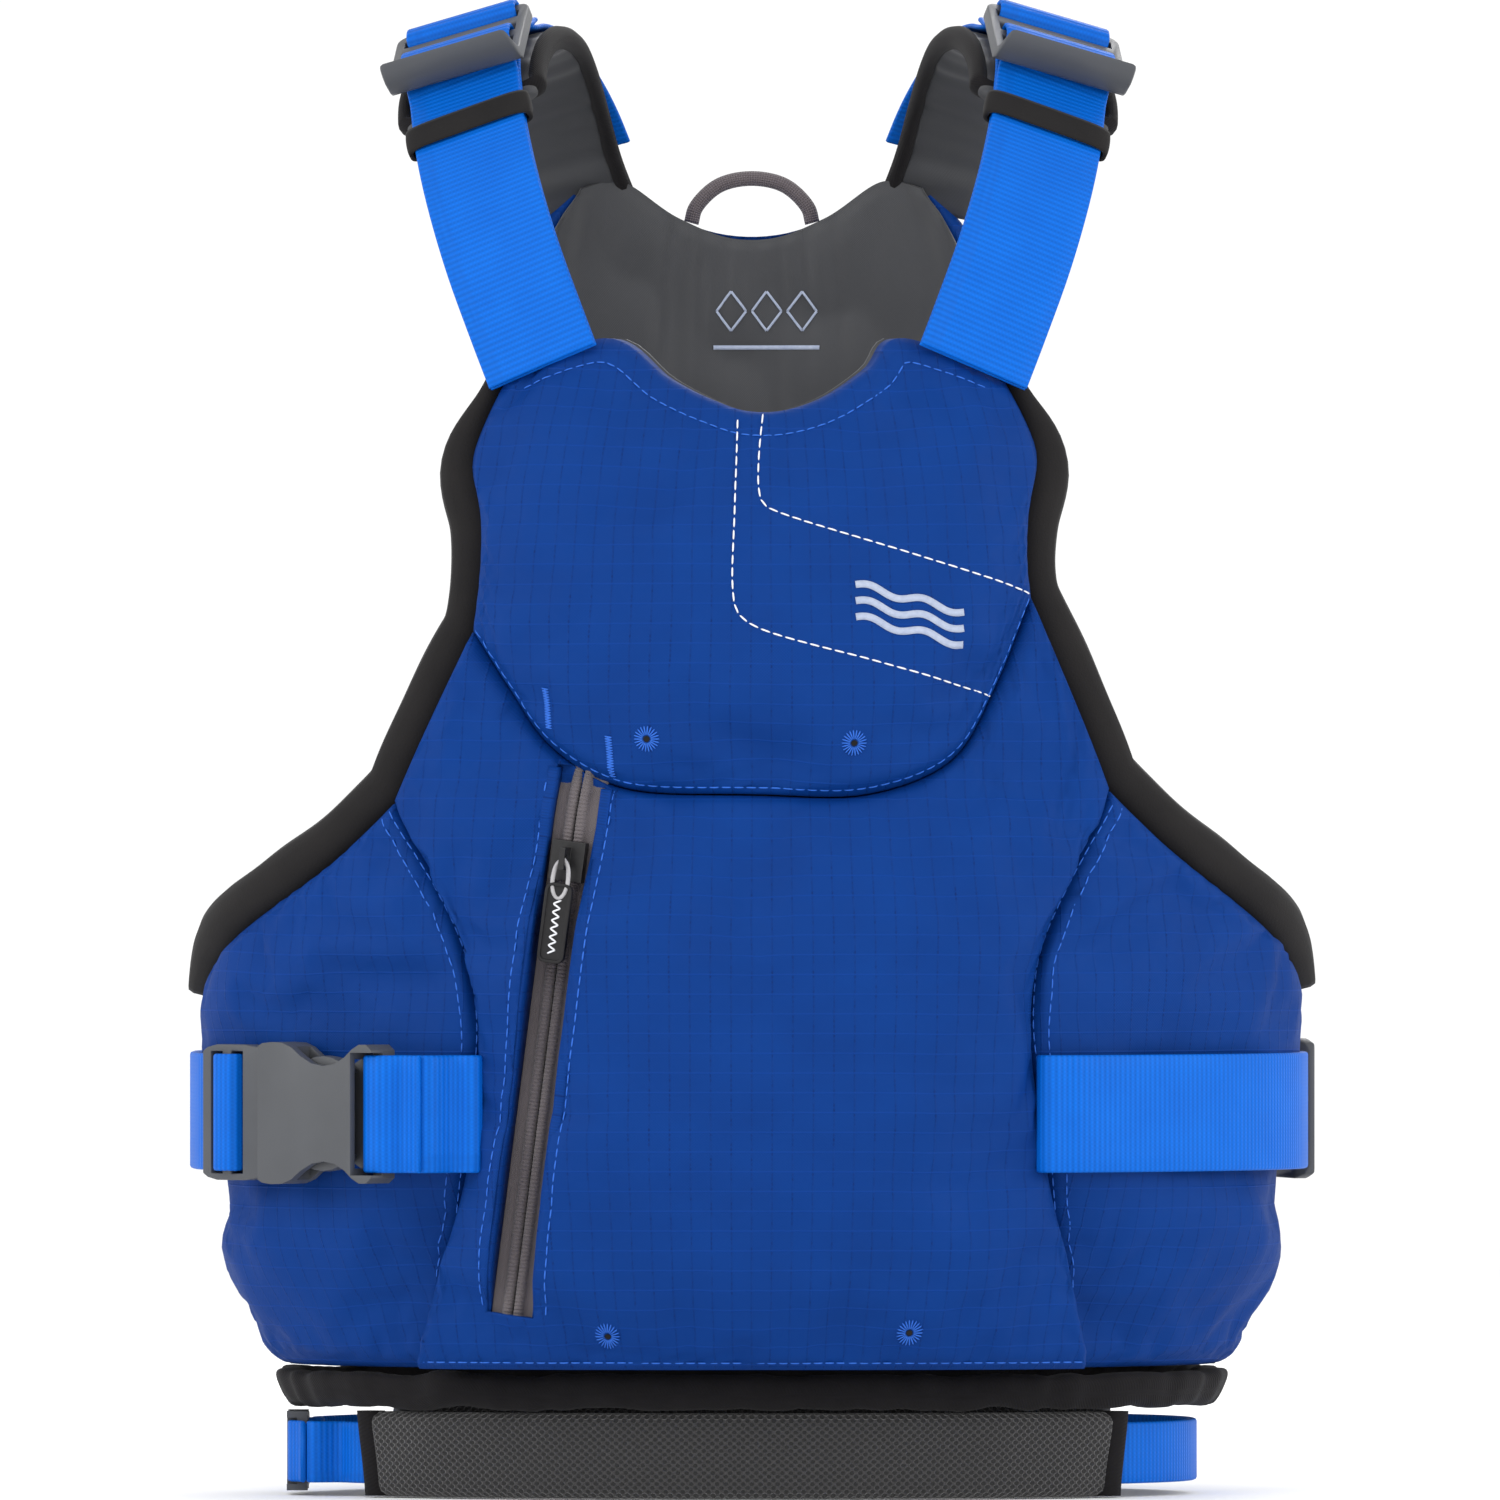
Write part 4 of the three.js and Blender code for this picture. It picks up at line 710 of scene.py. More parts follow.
EDGING = 18.0
EDGING_CREST = (22, 15)          # how far out it stands, at the side and at the chest's corner
for name, side in (("right", -1), ("left", 1)):
    t = np.linspace(0, 1, 40)
    wing, shoulder, chest = curves["wing_top_" + name], curves["shoulder_" + name], curves["chest_side_" + name]
    line = np.concatenate([wing(1 - t)[:-1], shoulder(np.linspace(0, 1, 14))[:-1], chest(t)])
    line = np.stack([round_length(line[:, 0]), line[:, 1]], -1)
    along = np.concatenate([[0], np.cumsum(np.linalg.norm(np.diff(line, axis=0), axis=1))])
    at = np.linspace(0, along[-1], int(along[-1] / 2.5))
    line = np.stack([np.interp(at, along, line[:, k]) for k in (0, 1)], -1)
    for _ in range(3):
        line[1:-1] = (line[:-2] + 2 * line[1:-1] + line[2:]) / 4
    run = np.gradient(line, axis=0)
    run /= np.linalg.norm(run, axis=1, keepdims=True)
    away = np.stack([run[:, 1], -run[:, 0]], -1) * side
    turn = np.linspace(0, 2 * np.pi, 15)[:-1]
    tapered = 0.4 + 0.6 * smooth(np.minimum(at, at[-1] - at), 0, 32)
    width = EDGING / 2 * tapered + 0.35 * rumple(at, at * 0, 31, 30, 60)
    centre = line + away * ((EDGING / 2 - 1) * tapered)[:, None]
    rings = []
    for k in range(len(at)):
        c = np.cos(turn) * width[k]
        s, z = centre[k, 0] + away[k, 0] * c, centre[k, 1] + away[k, 1] * c
        crest = EDGING_CREST[0] + (EDGING_CREST[1] - EDGING_CREST[0]) * smooth(at[k] / at[-1], 0.5, 1)
        out = crest / 2 + crest / 2 * np.sign(np.sin(turn)) * np.abs(np.sin(turn)) ** 0.7
        rings.append(metres(on_form(angle_of(s), z, out)))
    edging = tube("armhole_band_" + name, np.array(rings), look=neoprene)
    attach(edging, "vest")
    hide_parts("armhole_edging_" + name)


# ------------------------------------------------------------------ pocket zip
# A reversed nylon coil zip, so its flat tape and ribbed band show. The pocket panel is cut for it, with the
# ripstop folded under along both sides. The die-cast slider is black, and a cord bow through its eye holds
# a moulded rubber tab with a white zigzag sewn through it.

ZIP_LENGTH = 158.466
ZIP_SIGHT = 14.5
ZIP_RUN_ON = 20                 # how far the slot and tapes go on to the yoke seam
ZIP_DIP = 0.012                 # per mm: how the tapes sink there
TAPE_DEPTH = 7.8
ZIP_FRAME = Matrix(((0.96147, 0.12621, -0.24421, -72.0), (-0.23972, -0.04984, -0.96956, -111.19),
                    (-0.13454, 0.99075, -0.01766, 138.5), (0, 0, 0, 1)))
PULL_PIVOT = (68.233 + 1.5, 2.1)        # up the zip and out from its plane


def on_zip(points):
    """Points beside, up and out from the zip's middle, mm, as metres in the room."""
    p = np.asarray(points, float)
    m = np.array(ZIP_FRAME)
    return (p @ m[:3, :3].T + m[:3, 3]) / 1000


def to_room(obj, place_matrix):
    """Puts a piece that was modelled in millimetres in its own axes where it belongs, for good."""
    obj.data.transform(Matrix.Scale(0.001, 4) @ place_matrix @ obj.matrix_world)
    obj.matrix_world = Matrix.Identity(4)


bpy.ops.object.select_all(action="DESELECT")
bpy.ops.mesh.primitive_cube_add(size=1, location=(0, ZIP_RUN_ON / 2, 4),
                                scale=(ZIP_SIGHT + 1.6, ZIP_LENGTH + ZIP_RUN_ON, 28))
knife = bpy.context.object
bpy.ops.object.transform_apply(location=True, rotation=True, scale=True)
to_room(knife, ZIP_FRAME)
slit = front_panel.modifiers.new("slit", "BOOLEAN")
slit.object, slit.operation, slit.solver = knife, "DIFFERENCE", "EXACT"
bpy.context.view_layer.objects.active = front_panel
bpy.ops.object.modifier_apply(modifier=slit.name)
bpy.data.objects.remove(knife)
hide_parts("front_cover", "front_foam")

ZIP_GREY = "#625b5d"
zip_cloth, tree, shader = finish_named("woven_polyester_zip_tape", 0.75, Sheen_Weight=0.2, Sheen_Roughness=0.5)
place = add(tree, "TexCoord").outputs["UV"]
woven = weave(tree, place, (0.9, 0.7))
shade = add(tree, "MapRange", {"Value": woven, "From Min": -1.0, "To Min": 0.82, "To Max": 1.15})
cloth = add(tree, "MixRGB", {"Fac": 1.0, "Color1": linear(ZIP_GREY), "Color2": shade}, blend_type="MULTIPLY")
tree.links.new(cloth.outputs[0], shader.inputs["Base Color"])
emboss(tree, shader, woven, 0.5, 0.0002)

RIB_PITCH = 1.25
for name, side in (("right", -1), ("left", 1)):
    y = np.arange(-ZIP_LENGTH / 2 - 2.5, ZIP_LENGTH / 2 + ZIP_RUN_ON + 3, RIB_PITCH / 6)
    dip = ZIP_DIP * np.maximum(0, y - ZIP_LENGTH / 2)[:, None] ** 2
    rib = np.abs(np.sin(np.pi * y / RIB_PITCH))
    x = np.array([0.15, 0.5, 1.2, 2.2, 3.0, 3.4, 3.7, 5.0, 6.6, 8.3])
    height = np.array([0.2, 1.4, 1.9, 1.9, 1.5, 0.7, 0.1, 0.0, 0.0, 0.0])
    ribbed = np.array([0.2, 0.6, 0.6, 0.6, 0.5, 0.2, 0.05, 0, 0, 0])
    top = np.stack([np.broadcast_to(side * x, (len(y), 10)), np.broadcast_to(y[:, None], (len(y), 10)),
                    -TAPE_DEPTH + 0.2 + height + ribbed * rib[:, None] - dip], -1)
    under = np.stack([np.broadcast_to(side * x[::-1], (len(y), 10)), np.broadcast_to(y[:, None], (len(y), 10)),
                      -TAPE_DEPTH - 0.8 - np.broadcast_to(dip, (len(y), 10))], -1)
    rings = np.concatenate([top, under], 1)
    tape = tube("zip_half_" + name, on_zip(rings), rings[..., :2] / 1000, zip_cloth)
    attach(tape, "vest")
    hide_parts("zip_tape_" + name, "zip_chain_" + name)

    # The folded ripstop lip beside the tape.
    y = np.linspace(-ZIP_LENGTH / 2, ZIP_LENGTH / 2 + ZIP_RUN_ON - 1, 72)
    turn = np.linspace(0, 2 * np.pi, 13)[:-1]
    rings = []
    for height_up in y:
        edge = side * ZIP_SIGHT / 2
        up = on_zip([edge + side * 5, height_up, 14])
        to = on_zip([edge + side * 5, height_up, -14])
        hit = surfaces["front_panel"].ray_cast(Vector(up), Vector(to - up).normalized())
        if hit[0] is None:          # past the panel's end, under the yoke
            continue
        crest = 14 - (Vector(up) - hit[0]).length * 1000
        crest = min(max(crest, -6), 5) - 0.5
        fall = ZIP_DIP * max(0, height_up - ZIP_LENGTH / 2) ** 2
        x = edge + side * 1.7 - 1.9 * side * np.cos(turn)
        low = min(-TAPE_DEPTH + 0.6 - fall, crest - 1)
        z = np.where(np.sin(turn) > 0, crest + 0.6 * np.sin(turn), low)
        rings.append(np.stack([x, np.full(12, height_up), z], -1))
    rings = np.array(rings)
    lip = tube("zip_lip_" + name, on_zip(rings), rings[..., [1, 2]] / 1000, ripstop)
    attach(lip, "vest")


# ------------------------------------------------------------------ shoulder pads
# A strip of foam in dark grey lining cloth under each shoulder, bound all round in black stretch tape. It is
# sewn to the back yoke and ends free in front, under the webbing.

WEB = 38
WEB_THICK = 1.8
PAD_WIDTH = 50
PAD_THICK = 7
PAD_SPAN = (0.035, 0.63)
LOCK_AT = 0.545
WEB_RISE = PAD_THICK / 2 + 0.9 + WEB_THICK / 2
LAYER = WEB_THICK + 0.4
shoulder_line = [[56, 80, 425], [66, 62, 449], [78, 33, 466], [88, 1, 469], [93, -31, 457], [90, -58, 433],
                 [83, -77, 407], [73, -86, 379]]
CURVE_SAMPLES = 200


class Line:
    """A centripetal curve through points, read by share of its length."""

    def __init__(self, points, samples=CURVE_SAMPLES):
        p = np.array(points, float)
        last = len(p) - 1
        t = np.linspace(0, last, samples * last // 4 + 1)
        rows = []
        for value in t:
            i = min(int(value), last - 1)
            w = value - i
            p1, p2 = p[i], p[i + 1]
            p0 = p[i - 1] if i > 0 else 2 * p[0] - p[1]
            p3 = p[i + 2] if i + 2 <= last else 2 * p[last] - p[last - 1]
            d0, d1, d2 = (max(np.linalg.norm(b - a) ** 0.5, 1e-4) for a, b in ((p0, p1), (p1, p2), (p2, p3)))
            t1 = ((p1 - p0) / d0 - (p2 - p0) / (d0 + d1) + (p2 - p1) / d1) * d1
            t2 = ((p2 - p1) / d1 - (p3 - p1) / (d1 + d2) + (p3 - p2) / d2) * d1
            rows.append(p1 + t1 * w + (-3 * p1 + 3 * p2 - 2 * t1 - t2) * w * w
                        + (2 * p1 - 2 * p2 + t1 + t2) * w ** 3)
        self.points = np.array(rows)
        steps = np.linalg.norm(np.diff(self.points, axis=0), axis=1)
        self.along = np.concatenate([[0], np.cumsum(steps)])
        self.length = self.along[-1]

    def at(self, share):
        s = np.asarray(share) * self.length
        return np.stack([np.interp(s, self.along, self.points[:, k]) for k in range(3)], -1)

    def frame(self, share, across):
        """Where it is, its direction, its width direction and the way it faces."""
        along = self.at(min(share + 0.003, 1)) - self.at(max(share - 0.003, 0))
        along /= np.linalg.norm(along)
        side = np.array(across, float)
        side -= side.dot(along) * along
        side /= np.linalg.norm(side)
        return self.at(share), along, side, np.cross(side, along)


binding, tree, shader = finish_named("knitted_binding_tape", 0.85, Sheen_Weight=0.05, Specular_IOR_Level=0.15)
place = add(tree, "TexCoord").outputs["UV"]
size = add(tree, "Mapping", {"Vector": place, "Scale": [2000 * math.pi / 1.3] * 3})
thread = add(tree, "SeparateXYZ", {"Vector": size})
warp = add(tree, "Math", {0: thread.outputs["X"], 1: thread.outputs["Y"]}, operation="ADD")
warp = add(tree, "Math", {0: warp}, operation="SINE")
cloudy = add(tree, "TexNoise", {"Vector": place, "Scale": 90.0, "Detail": 4.0})
cloth = add(tree, "MixRGB", {"Fac": cloudy, "Color1": linear("#0f0e0f"), "Color2": linear("#1b191b")})
tree.links.new(cloth.outputs[0], shader.inputs["Base Color"])
emboss(tree, shader, warp, 0.3, 0.00015)


def swept(name, line, across, shares, section, look, lift=0.0, wave=None, fit=None):
    """A piece of one cross-section, [(sideways, outwards)], along a line. Its UV is round and along it, m."""
    rings, maps = [], []
    section = np.array(section, float)
    girth = np.concatenate([[0], np.cumsum(np.linalg.norm(np.diff(section, axis=0), axis=1))])
    for share in shares:
        at, _, side, normal = line.frame(share, across)
        extra = 0 if wave is None else wave(share)
        narrow, aside = (1, 0) if fit is None else fit(share)
        rings.append(at + (section[:, :1] * narrow + aside) * side + (section[:, 1:] + lift + extra) * normal)
        maps.append(np.stack([girth, np.full(len(section), share * line.length)], -1))
    return tube(name, metres(rings), np.array(maps) / 1000, look)


def oblong(width, thick, corners=5, power=None):
    """A flat cross-section with rounded edges, or one that swells in the middle, against the clock."""
    r = thick / 2
    if power is not None:
        turn = np.linspace(0, 2 * np.pi, 37)[:-1]
        c, s = np.cos(turn), np.sin(turn)
        return [(width / 2 * np.sign(a) * abs(a) ** power, r * np.sign(b) * abs(b) ** 0.75) for a, b in zip(c, s)]
    points = []
    for centre, start in ((width / 2 - r, -90), (-width / 2 + r, 90)):
        for a in np.linspace(start, start + 180, corners):
            points.append((centre + r * math.cos(math.radians(a)), r * math.sin(math.radians(a))))
        if start == -90:
            points += [(x, r) for x in np.linspace(width / 2 - r, -width / 2 + r, 8)[1:-1]]
        else:
            points += [(x, -r) for x in np.linspace(-width / 2 + r, width / 2 - r, 8)[1:-1]]
    return points


shoulders = {}
for name, side in (("right", -1), ("left", 1)):
    line = Line([[side * x + 2, y, z] for x, y, z in shoulder_line])
    across = line.frame(LOCK_AT, [-0.94, side * -0.1, side * 0.33])[2]
    shoulders[name] = (line, across)
    # It starts inside the back panel, narrower and nearer the arm than it is in front.
    inside_back = 2 * np.array(shoulder_line[0], float) - shoulder_line[1]
    inside_back = shoulder_line[0] + (inside_back - shoulder_line[0]) * 0.2
    pad_line = Line([[side * x + 2, y, z] for x, y, z in [inside_back, *shoulder_line]])
    started = pad_line.length - line.length
    span = (0.01, (PAD_SPAN[1] * line.length + started) / pad_line.length)

    def pad_fit(share, out_way=-1 if across[0] * side < 0 else 1):
        back_end = 1 - smooth(share, 0.05, 0.38)
        return 1 - 0.34 * back_end, out_way * 2.5 * back_end

    shares = np.linspace(span[0] + 0.004, span[1] - 0.004, 80)
    pad = swept("shoulder_pad_core_" + name, pad_line, across, shares, oblong(PAD_WIDTH - 5, PAD_THICK, power=0.35),
                lining, wave=lambda t: 0.3 * math.sin(80 * t) + 0.2 * math.sin(143 * t + 1), fit=pad_fit)
    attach(pad, "vest")
    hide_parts("shoulder_pad_" + name)
    # The binding runs along one edge, round the free end and back.
    half, r = PAD_WIDTH / 2 - 2.2, 2.8
    course = []
    for edge, run in ((-1, np.linspace(span[0], span[1] - 0.02, 66)),
                      (1, np.linspace(span[1] - 0.02, span[0], 66))):
        for share in run:
            at, along, sideways, normal = pad_line.frame(share, across)
            narrow, aside = pad_fit(share)
            course.append((at + (edge * half * narrow + aside) * sideways, edge * sideways, normal))
        if edge < 0:
            for a in np.linspace(-80, 80, 11):
                at, along, sideways, normal = pad_line.frame(span[1] - 0.02, across)
                bend = math.radians(a)
                out_way = along * math.cos(bend) + sideways * math.sin(bend)
                course.append((at + sideways * half * math.sin(bend) + along * 3 * math.cos(bend), out_way, normal))
    turn = np.linspace(0, 2 * np.pi, 13)[:-1]
    rings = np.array([[at + r * math.cos(a) * way + (PAD_THICK / 2 + 0.5) * math.sin(a) * normal for a in turn]
                      for at, way, normal in course])
    distance = np.concatenate([[0], np.cumsum([np.linalg.norm(b[0] - a[0]) for a, b in zip(course, course[1:])])])
    maps = np.stack([np.broadcast_to(turn * 4.5, (len(course), 12)),
                     np.broadcast_to(distance[:, None], (len(course), 12))], -1) / 1000
    tape = tube("shoulder_binding_" + name, metres(rings), maps, binding)
    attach(tape, "vest")


# ------------------------------------------------------------------ webbing
# Bright blue polyester webbing, 38 mm at the shoulders and waist and 20 mm on the belt, woven with fine
# ribs across it and a firmer selvedge. It is threaded through each lock and sewn down at its ends.

WEBBING_BLUE = "#0065cc"
WEBBING_SHADE = "#0058ba"
RIB = 1.9                       # mm
webbing, tree, shader = finish_named("ribbed_polyester_webbing", 0.5, Specular_IOR_Level=0.12)
place = add(tree, "TexCoord").outputs["UV"]
size = add(tree, "Mapping", {"Vector": place, "Scale": [2000 * math.pi / RIB] * 3})
thread = add(tree, "SeparateXYZ", {"Vector": size})
ribs = add(tree, "Math", {0: thread.outputs["Y"]}, operation="SINE")
cross = add(tree, "Math", {0: thread.outputs["X"], 1: 1.5}, operation="MULTIPLY")
cross = add(tree, "Math", {0: cross}, operation="SINE")
woven = add(tree, "Math", {0: ribs, 1: cross}, operation="MULTIPLY")
cloudy = add(tree, "TexNoise", {"Vector": place, "Scale": 60.0, "Detail": 3.0})
cloth = add(tree, "MixRGB", {"Fac": cloudy, "Color1": linear(WEBBING_BLUE), "Color2": linear(WEBBING_SHADE)})
shade = add(tree, "MapRange", {"Value": ribs, "From Min": -1.0, "To Min": 0.84, "To Max": 1.06})
cloth = add(tree, "MixRGB", {"Fac": 1.0, "Color1": cloth, "Color2": shade}, blend_type="MULTIPLY")
shade = add(tree, "MapRange", {"Value": woven, "From Min": -1.0, "To Min": 0.93, "To Max": 1.05})
cloth = add(tree, "MixRGB", {"Fac": 1.0, "Color1": cloth, "Color2": shade}, blend_type="MULTIPLY")
tree.links.new(cloth.outputs[0], shader.inputs["Base Color"])
relief = add(tree, "Math", {0: woven, 1: 0.4}, operation="MULTIPLY")
relief = add(tree, "Math", {0: relief, 1: ribs}, operation="ADD")
emboss(tree, shader, relief, 0.35, 0.00016)

LOCK = {"width": WEB + 8, "thickness": 4.6, "bar": 4.6, "slot": 5.6, "hang_slot": 4.4, "lip": 12}
LOCK["depth"] = 4 * LOCK["bar"] + 2 * LOCK["slot"] + LOCK["hang_slot"]
NEAR = -LOCK["depth"] / 2 + LOCK["bar"] + LOCK["slot"] / 2
FAR = NEAR + LOCK["slot"] + LOCK["bar"]
HANG = LOCK["depth"] / 2 - LOCK["bar"] - LOCK["hang_slot"] / 2
TURN = WEB_THICK / 2 + 0.4
ABOVE = LOCK["thickness"] + TURN + 0.3


def round_hanging_bar(local):
    end = LOCK["depth"] / 2
    return [local(*p) for p in [
        (end + 3, -4.6), (end - 1, -2.4), (end - 4.4, -TURN - 0.4), (HANG + 0.5, -0.6), (HANG, 1.2), (HANG, 3.6),
        (HANG + 1, ABOVE - 0.7), (HANG + 2.6, ABOVE), (end - 0.6, ABOVE), (end + TURN, ABOVE - 1.2),
        (end + TURN + 0.6, 2.6), (end + TURN + 1.2, 0.2), (end + 4.6, -2.2)]]


def over_gripping_bar(local):
    grip = (NEAR + FAR) / 2
    return [local(*p) for p in [
        (NEAR - 3, -TURN - 0.6), (NEAR - 0.8, -0.6), (NEAR, 1.4), (NEAR, 3.4), (NEAR + 1, ABOVE - 0.7),
        (NEAR + 3, ABOVE), (FAR - 3, ABOVE), (FAR - 1, ABOVE - 0.7), (FAR, 3.4), (FAR, 1.2), (FAR - 0.8, -1),
        (grip + 2.6, -2.6), (grip + 0.5, -3.8), (grip - 3.4, -4.9)]]


def strip_of_webbing(name, points, across, node, width=WEB, latch=None):
    """With latch given, the strip is only baked in place and left unattached, and nothing bends it; the latch's body,
    start and end are not used.
    """
    line = Line(points, 60)
    shares = np.linspace(0, 1, max(12, int(line.length / 1.6)))
    strip = swept(name, line, across, shares, oblong(width, WEB_THICK), webbing)
    if latch is None:
        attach(strip, "vest")
    else:
        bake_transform(strip)
    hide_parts(node)
    return strip, line


def axes(origin, x, y, z):
    """A placing matrix in millimetres, before the shift to the origin is added."""
    at = np.array(origin) + SHIFT
    return Matrix(((x[0], y[0], z[0], at[0]), (x[1], y[1], z[1], at[1]), (x[2], y[2], z[2], at[2]), (0, 0, 0, 1)))


lock_places = {}
for name, side in (("right", -1), ("left", 1)):
    line, across = shoulders[name]
    at, along, sideways, normal = line.frame(LOCK_AT, across)
    seat = at + normal * (WEB_RISE + LAYER + WEB_THICK + 1)
    lock_places["shoulder_lock_" + name] = (axes(seat, -sideways, -along, normal), "lock_" + name)
    local = lambda y, z, o=seat, a=along, n=normal: o - y * a + z * n

    def lifted(share, lift):
        spot, _, _, way = line.frame(share, across)
        return spot + lift * way

    hanger = [*(lifted(t, WEB_RISE) for t in (0.06, 0.1, 0.14, 0.19, 0.24, 0.29, 0.34, 0.385, 0.43)),
              *round_hanging_bar(local), lifted(0.46, WEB_RISE + LAYER + 0.3), lifted(0.42, WEB_RISE + LAYER + 0.2)]
    strip_of_webbing("shoulder_tail_" + name, hanger, across, "shoulder_hanger_" + name)
    # Both layers run on under the chest panel's top edge, where they are sewn in.
    end, run, _, way = line.frame(1.0, across)
    tucked = [end + 15 * run + lift * way for lift in (WEB_RISE + LAYER - 1.5, WEB_RISE - 1.5)]
    strap = [tucked[0], *(lifted(t, WEB_RISE + LAYER) for t in (1, 0.9, 0.8, 0.7, 0.61)),
             *over_gripping_bar(local), *(lifted(t, WEB_RISE) for t in (0.605, 0.7, 0.8, 0.9, 0.995)), tucked[1]]
    strip_of_webbing("shoulder_web_" + name, strap, across, "shoulder_strap_" + name)

    # A sewn elastic keeper holds the two layers together below the lock.
    middle = line.frame(0.68, across)
    half, tall = WEB / 2 + 2.0, WEB_THICK + 2.2
    turn = np.linspace(0, 2 * np.pi, 49)[:-1]
    rings = []
    for k in np.linspace(-5.2, 5.2, 9):
        spot = middle[0] - middle[1] * k
        fat = 0.75 * math.sqrt(max(0.1, 1 - (k / 5.6) ** 2))
        ring = []
        for a in turn:
            c, sn = math.cos(a), math.sin(a)
            x = (half + fat) * math.copysign(abs(c) ** 0.35, c)
            z = (tall - 1 + fat) * math.copysign(abs(sn) ** 0.6, sn)
            ring.append(spot + x * middle[2] + (z + WEB_RISE + LAYER / 2) * middle[3])
        rings.append(ring)
    inner = [[spot_on - (spot_on - middle[0] - middle[3] * (WEB_RISE + LAYER / 2)) * 0.06 for spot_on in ring]
             for ring in rings[::-1]]
    keeper = tube("webbing_keeper_" + name, metres(rings + inner), None, neoprene, closed=True)
    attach(keeper, "vest")
    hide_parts("strap_keeper_" + name)


# ------------------------------------------------------------------ ladder locks
# Injection-moulded acetal, dark grey with a fine satin texture. Three slots take the webbing, and the front
# bar carries a wide thumb lip that is lifted to let the webbing slip. The same lock is used three times.

ACETAL_GREY = "#4c4e52"
acetal, tree, shader = finish_named("satin_moulded_acetal", 0.42, Specular_IOR_Level=0.4, IOR=1.48)
place = add(tree, "TexCoord").outputs["Object"]
spark = add(tree, "TexNoise", {"Vector": place, "Scale": 2600.0, "Detail": 2.0})
cloudy = add(tree, "TexNoise", {"Vector": place, "Scale": 45.0, "Detail": 3.0})
tone = add(tree, "MixRGB", {"Fac": cloudy, "Color1": linear(ACETAL_GREY), "Color2": linear("#414347")})
tree.links.new(tone.outputs[0], shader.inputs["Base Color"])
rough = add(tree, "MapRange", {"Value": spark, "To Min": 0.36, "To Max": 0.52})
tree.links.new(rough.outputs[0], shader.inputs["Roughness"])
emboss(tree, shader, spark, 0.25, 0.00012)


def block(name, low, high):
    """A box between two corners, mm, as the active object, with nothing else selected."""
    bpy.ops.object.select_all(action="DESELECT")
    size = [b - a for a, b in zip(low, high)]
    bpy.ops.mesh.primitive_cube_add(size=1, location=[(a + b) / 2 for a, b in zip(low, high)], scale=size)
    bpy.ops.object.transform_apply(location=True, rotation=True, scale=True)
    made = bpy.context.object
    made.name = made.data.name = name
    return made


def picked(obj, test, kind="VERT"):
    """Selects, in edit mode, the vertices, edges or faces whose middle passes the test."""
    bpy.context.view_layer.objects.active = obj
    bpy.ops.object.mode_set(mode="EDIT")
    bpy.ops.mesh.select_mode(type=kind)
    bpy.ops.mesh.select_all(action="DESELECT")
    shape = bmesh.from_edit_mesh(obj.data)
    found = {"VERT": shape.verts, "EDGE": shape.edges, "FACE": shape.faces}[kind]
    for part in found:
        middle = part.co if kind == "VERT" else (sum((v.co for v in part.verts), Vector()) / len(part.verts))
        part.select_set(bool(test(middle, part)))
    shape.select_flush_mode()
    bmesh.update_edit_mesh(obj.data)


def carve(obj, *tools, how="DIFFERENCE"):
    for tool in tools:
        cut = obj.modifiers.new("cut", "BOOLEAN")
        cut.object, cut.operation, cut.solver = tool, how, "EXACT"
        bpy.context.view_layer.objects.active = obj
        bpy.ops.object.modifier_apply(modifier=cut.name)
        bpy.data.objects.remove(tool)


def soften(obj, width, segments=2, angle=38):
    """Rounds the moulding's edges and shades it."""
    edge = obj.modifiers.new("moulded_edges", "BEVEL")
    edge.width, edge.segments, edge.limit_method, edge.angle_limit = width, segments, "ANGLE", math.radians(angle)
    edge.use_clamp_overlap = True
    bpy.context.view_layer.objects.active = obj
    bpy.ops.object.modifier_apply(modifier=edge.name)
    bpy.ops.object.select_all(action="DESELECT")
    obj.select_set(True)
    bpy.ops.object.shade_smooth_by_angle(angle=math.radians(40))
    obj.select_set(False)


def upright_edge(limit):
    return lambda middle, edge: abs((edge.verts[0].co - edge.verts[1].co).normalized().z) > 0.9 and limit(middle)


heading = math.radians(math.degrees(math.atan2(*(
    (on_form(108, 125.0, 19.5) - on_form(106, 125.0, 19.5))[[1, 0]]))) - 11)
waist_seat = on_form(107, 125.0, 19.5)
lock_places["waist_lock"] = (axes(waist_seat, (0, 0, -1), (math.cos(heading), math.sin(heading), 0),
                                  (math.sin(heading), -math.cos(heading), 0)), "waist_lock")
depth, wide, thick = LOCK["depth"], LOCK["width"], LOCK["thickness"]
half_slot = WEB / 2 + 0.8
THUMB_LIPS = {
    "shoulder": (((0, -2, 1.5), 0.99, 1.0), ((0, -2.5, 4), 0.99, 0.85), ((0, -1.5, 4.5), 0.97, 0.75),
                 ((0, -0.5, 1.5), 0.92, 0.6)),
    "waist": (((0, -1.5, 0.8), 0.98, 0.9), ((0, -2, 1.6), 0.95, 0.75), ((0, -0.8, 0.6), 0.9, 0.6)),
}
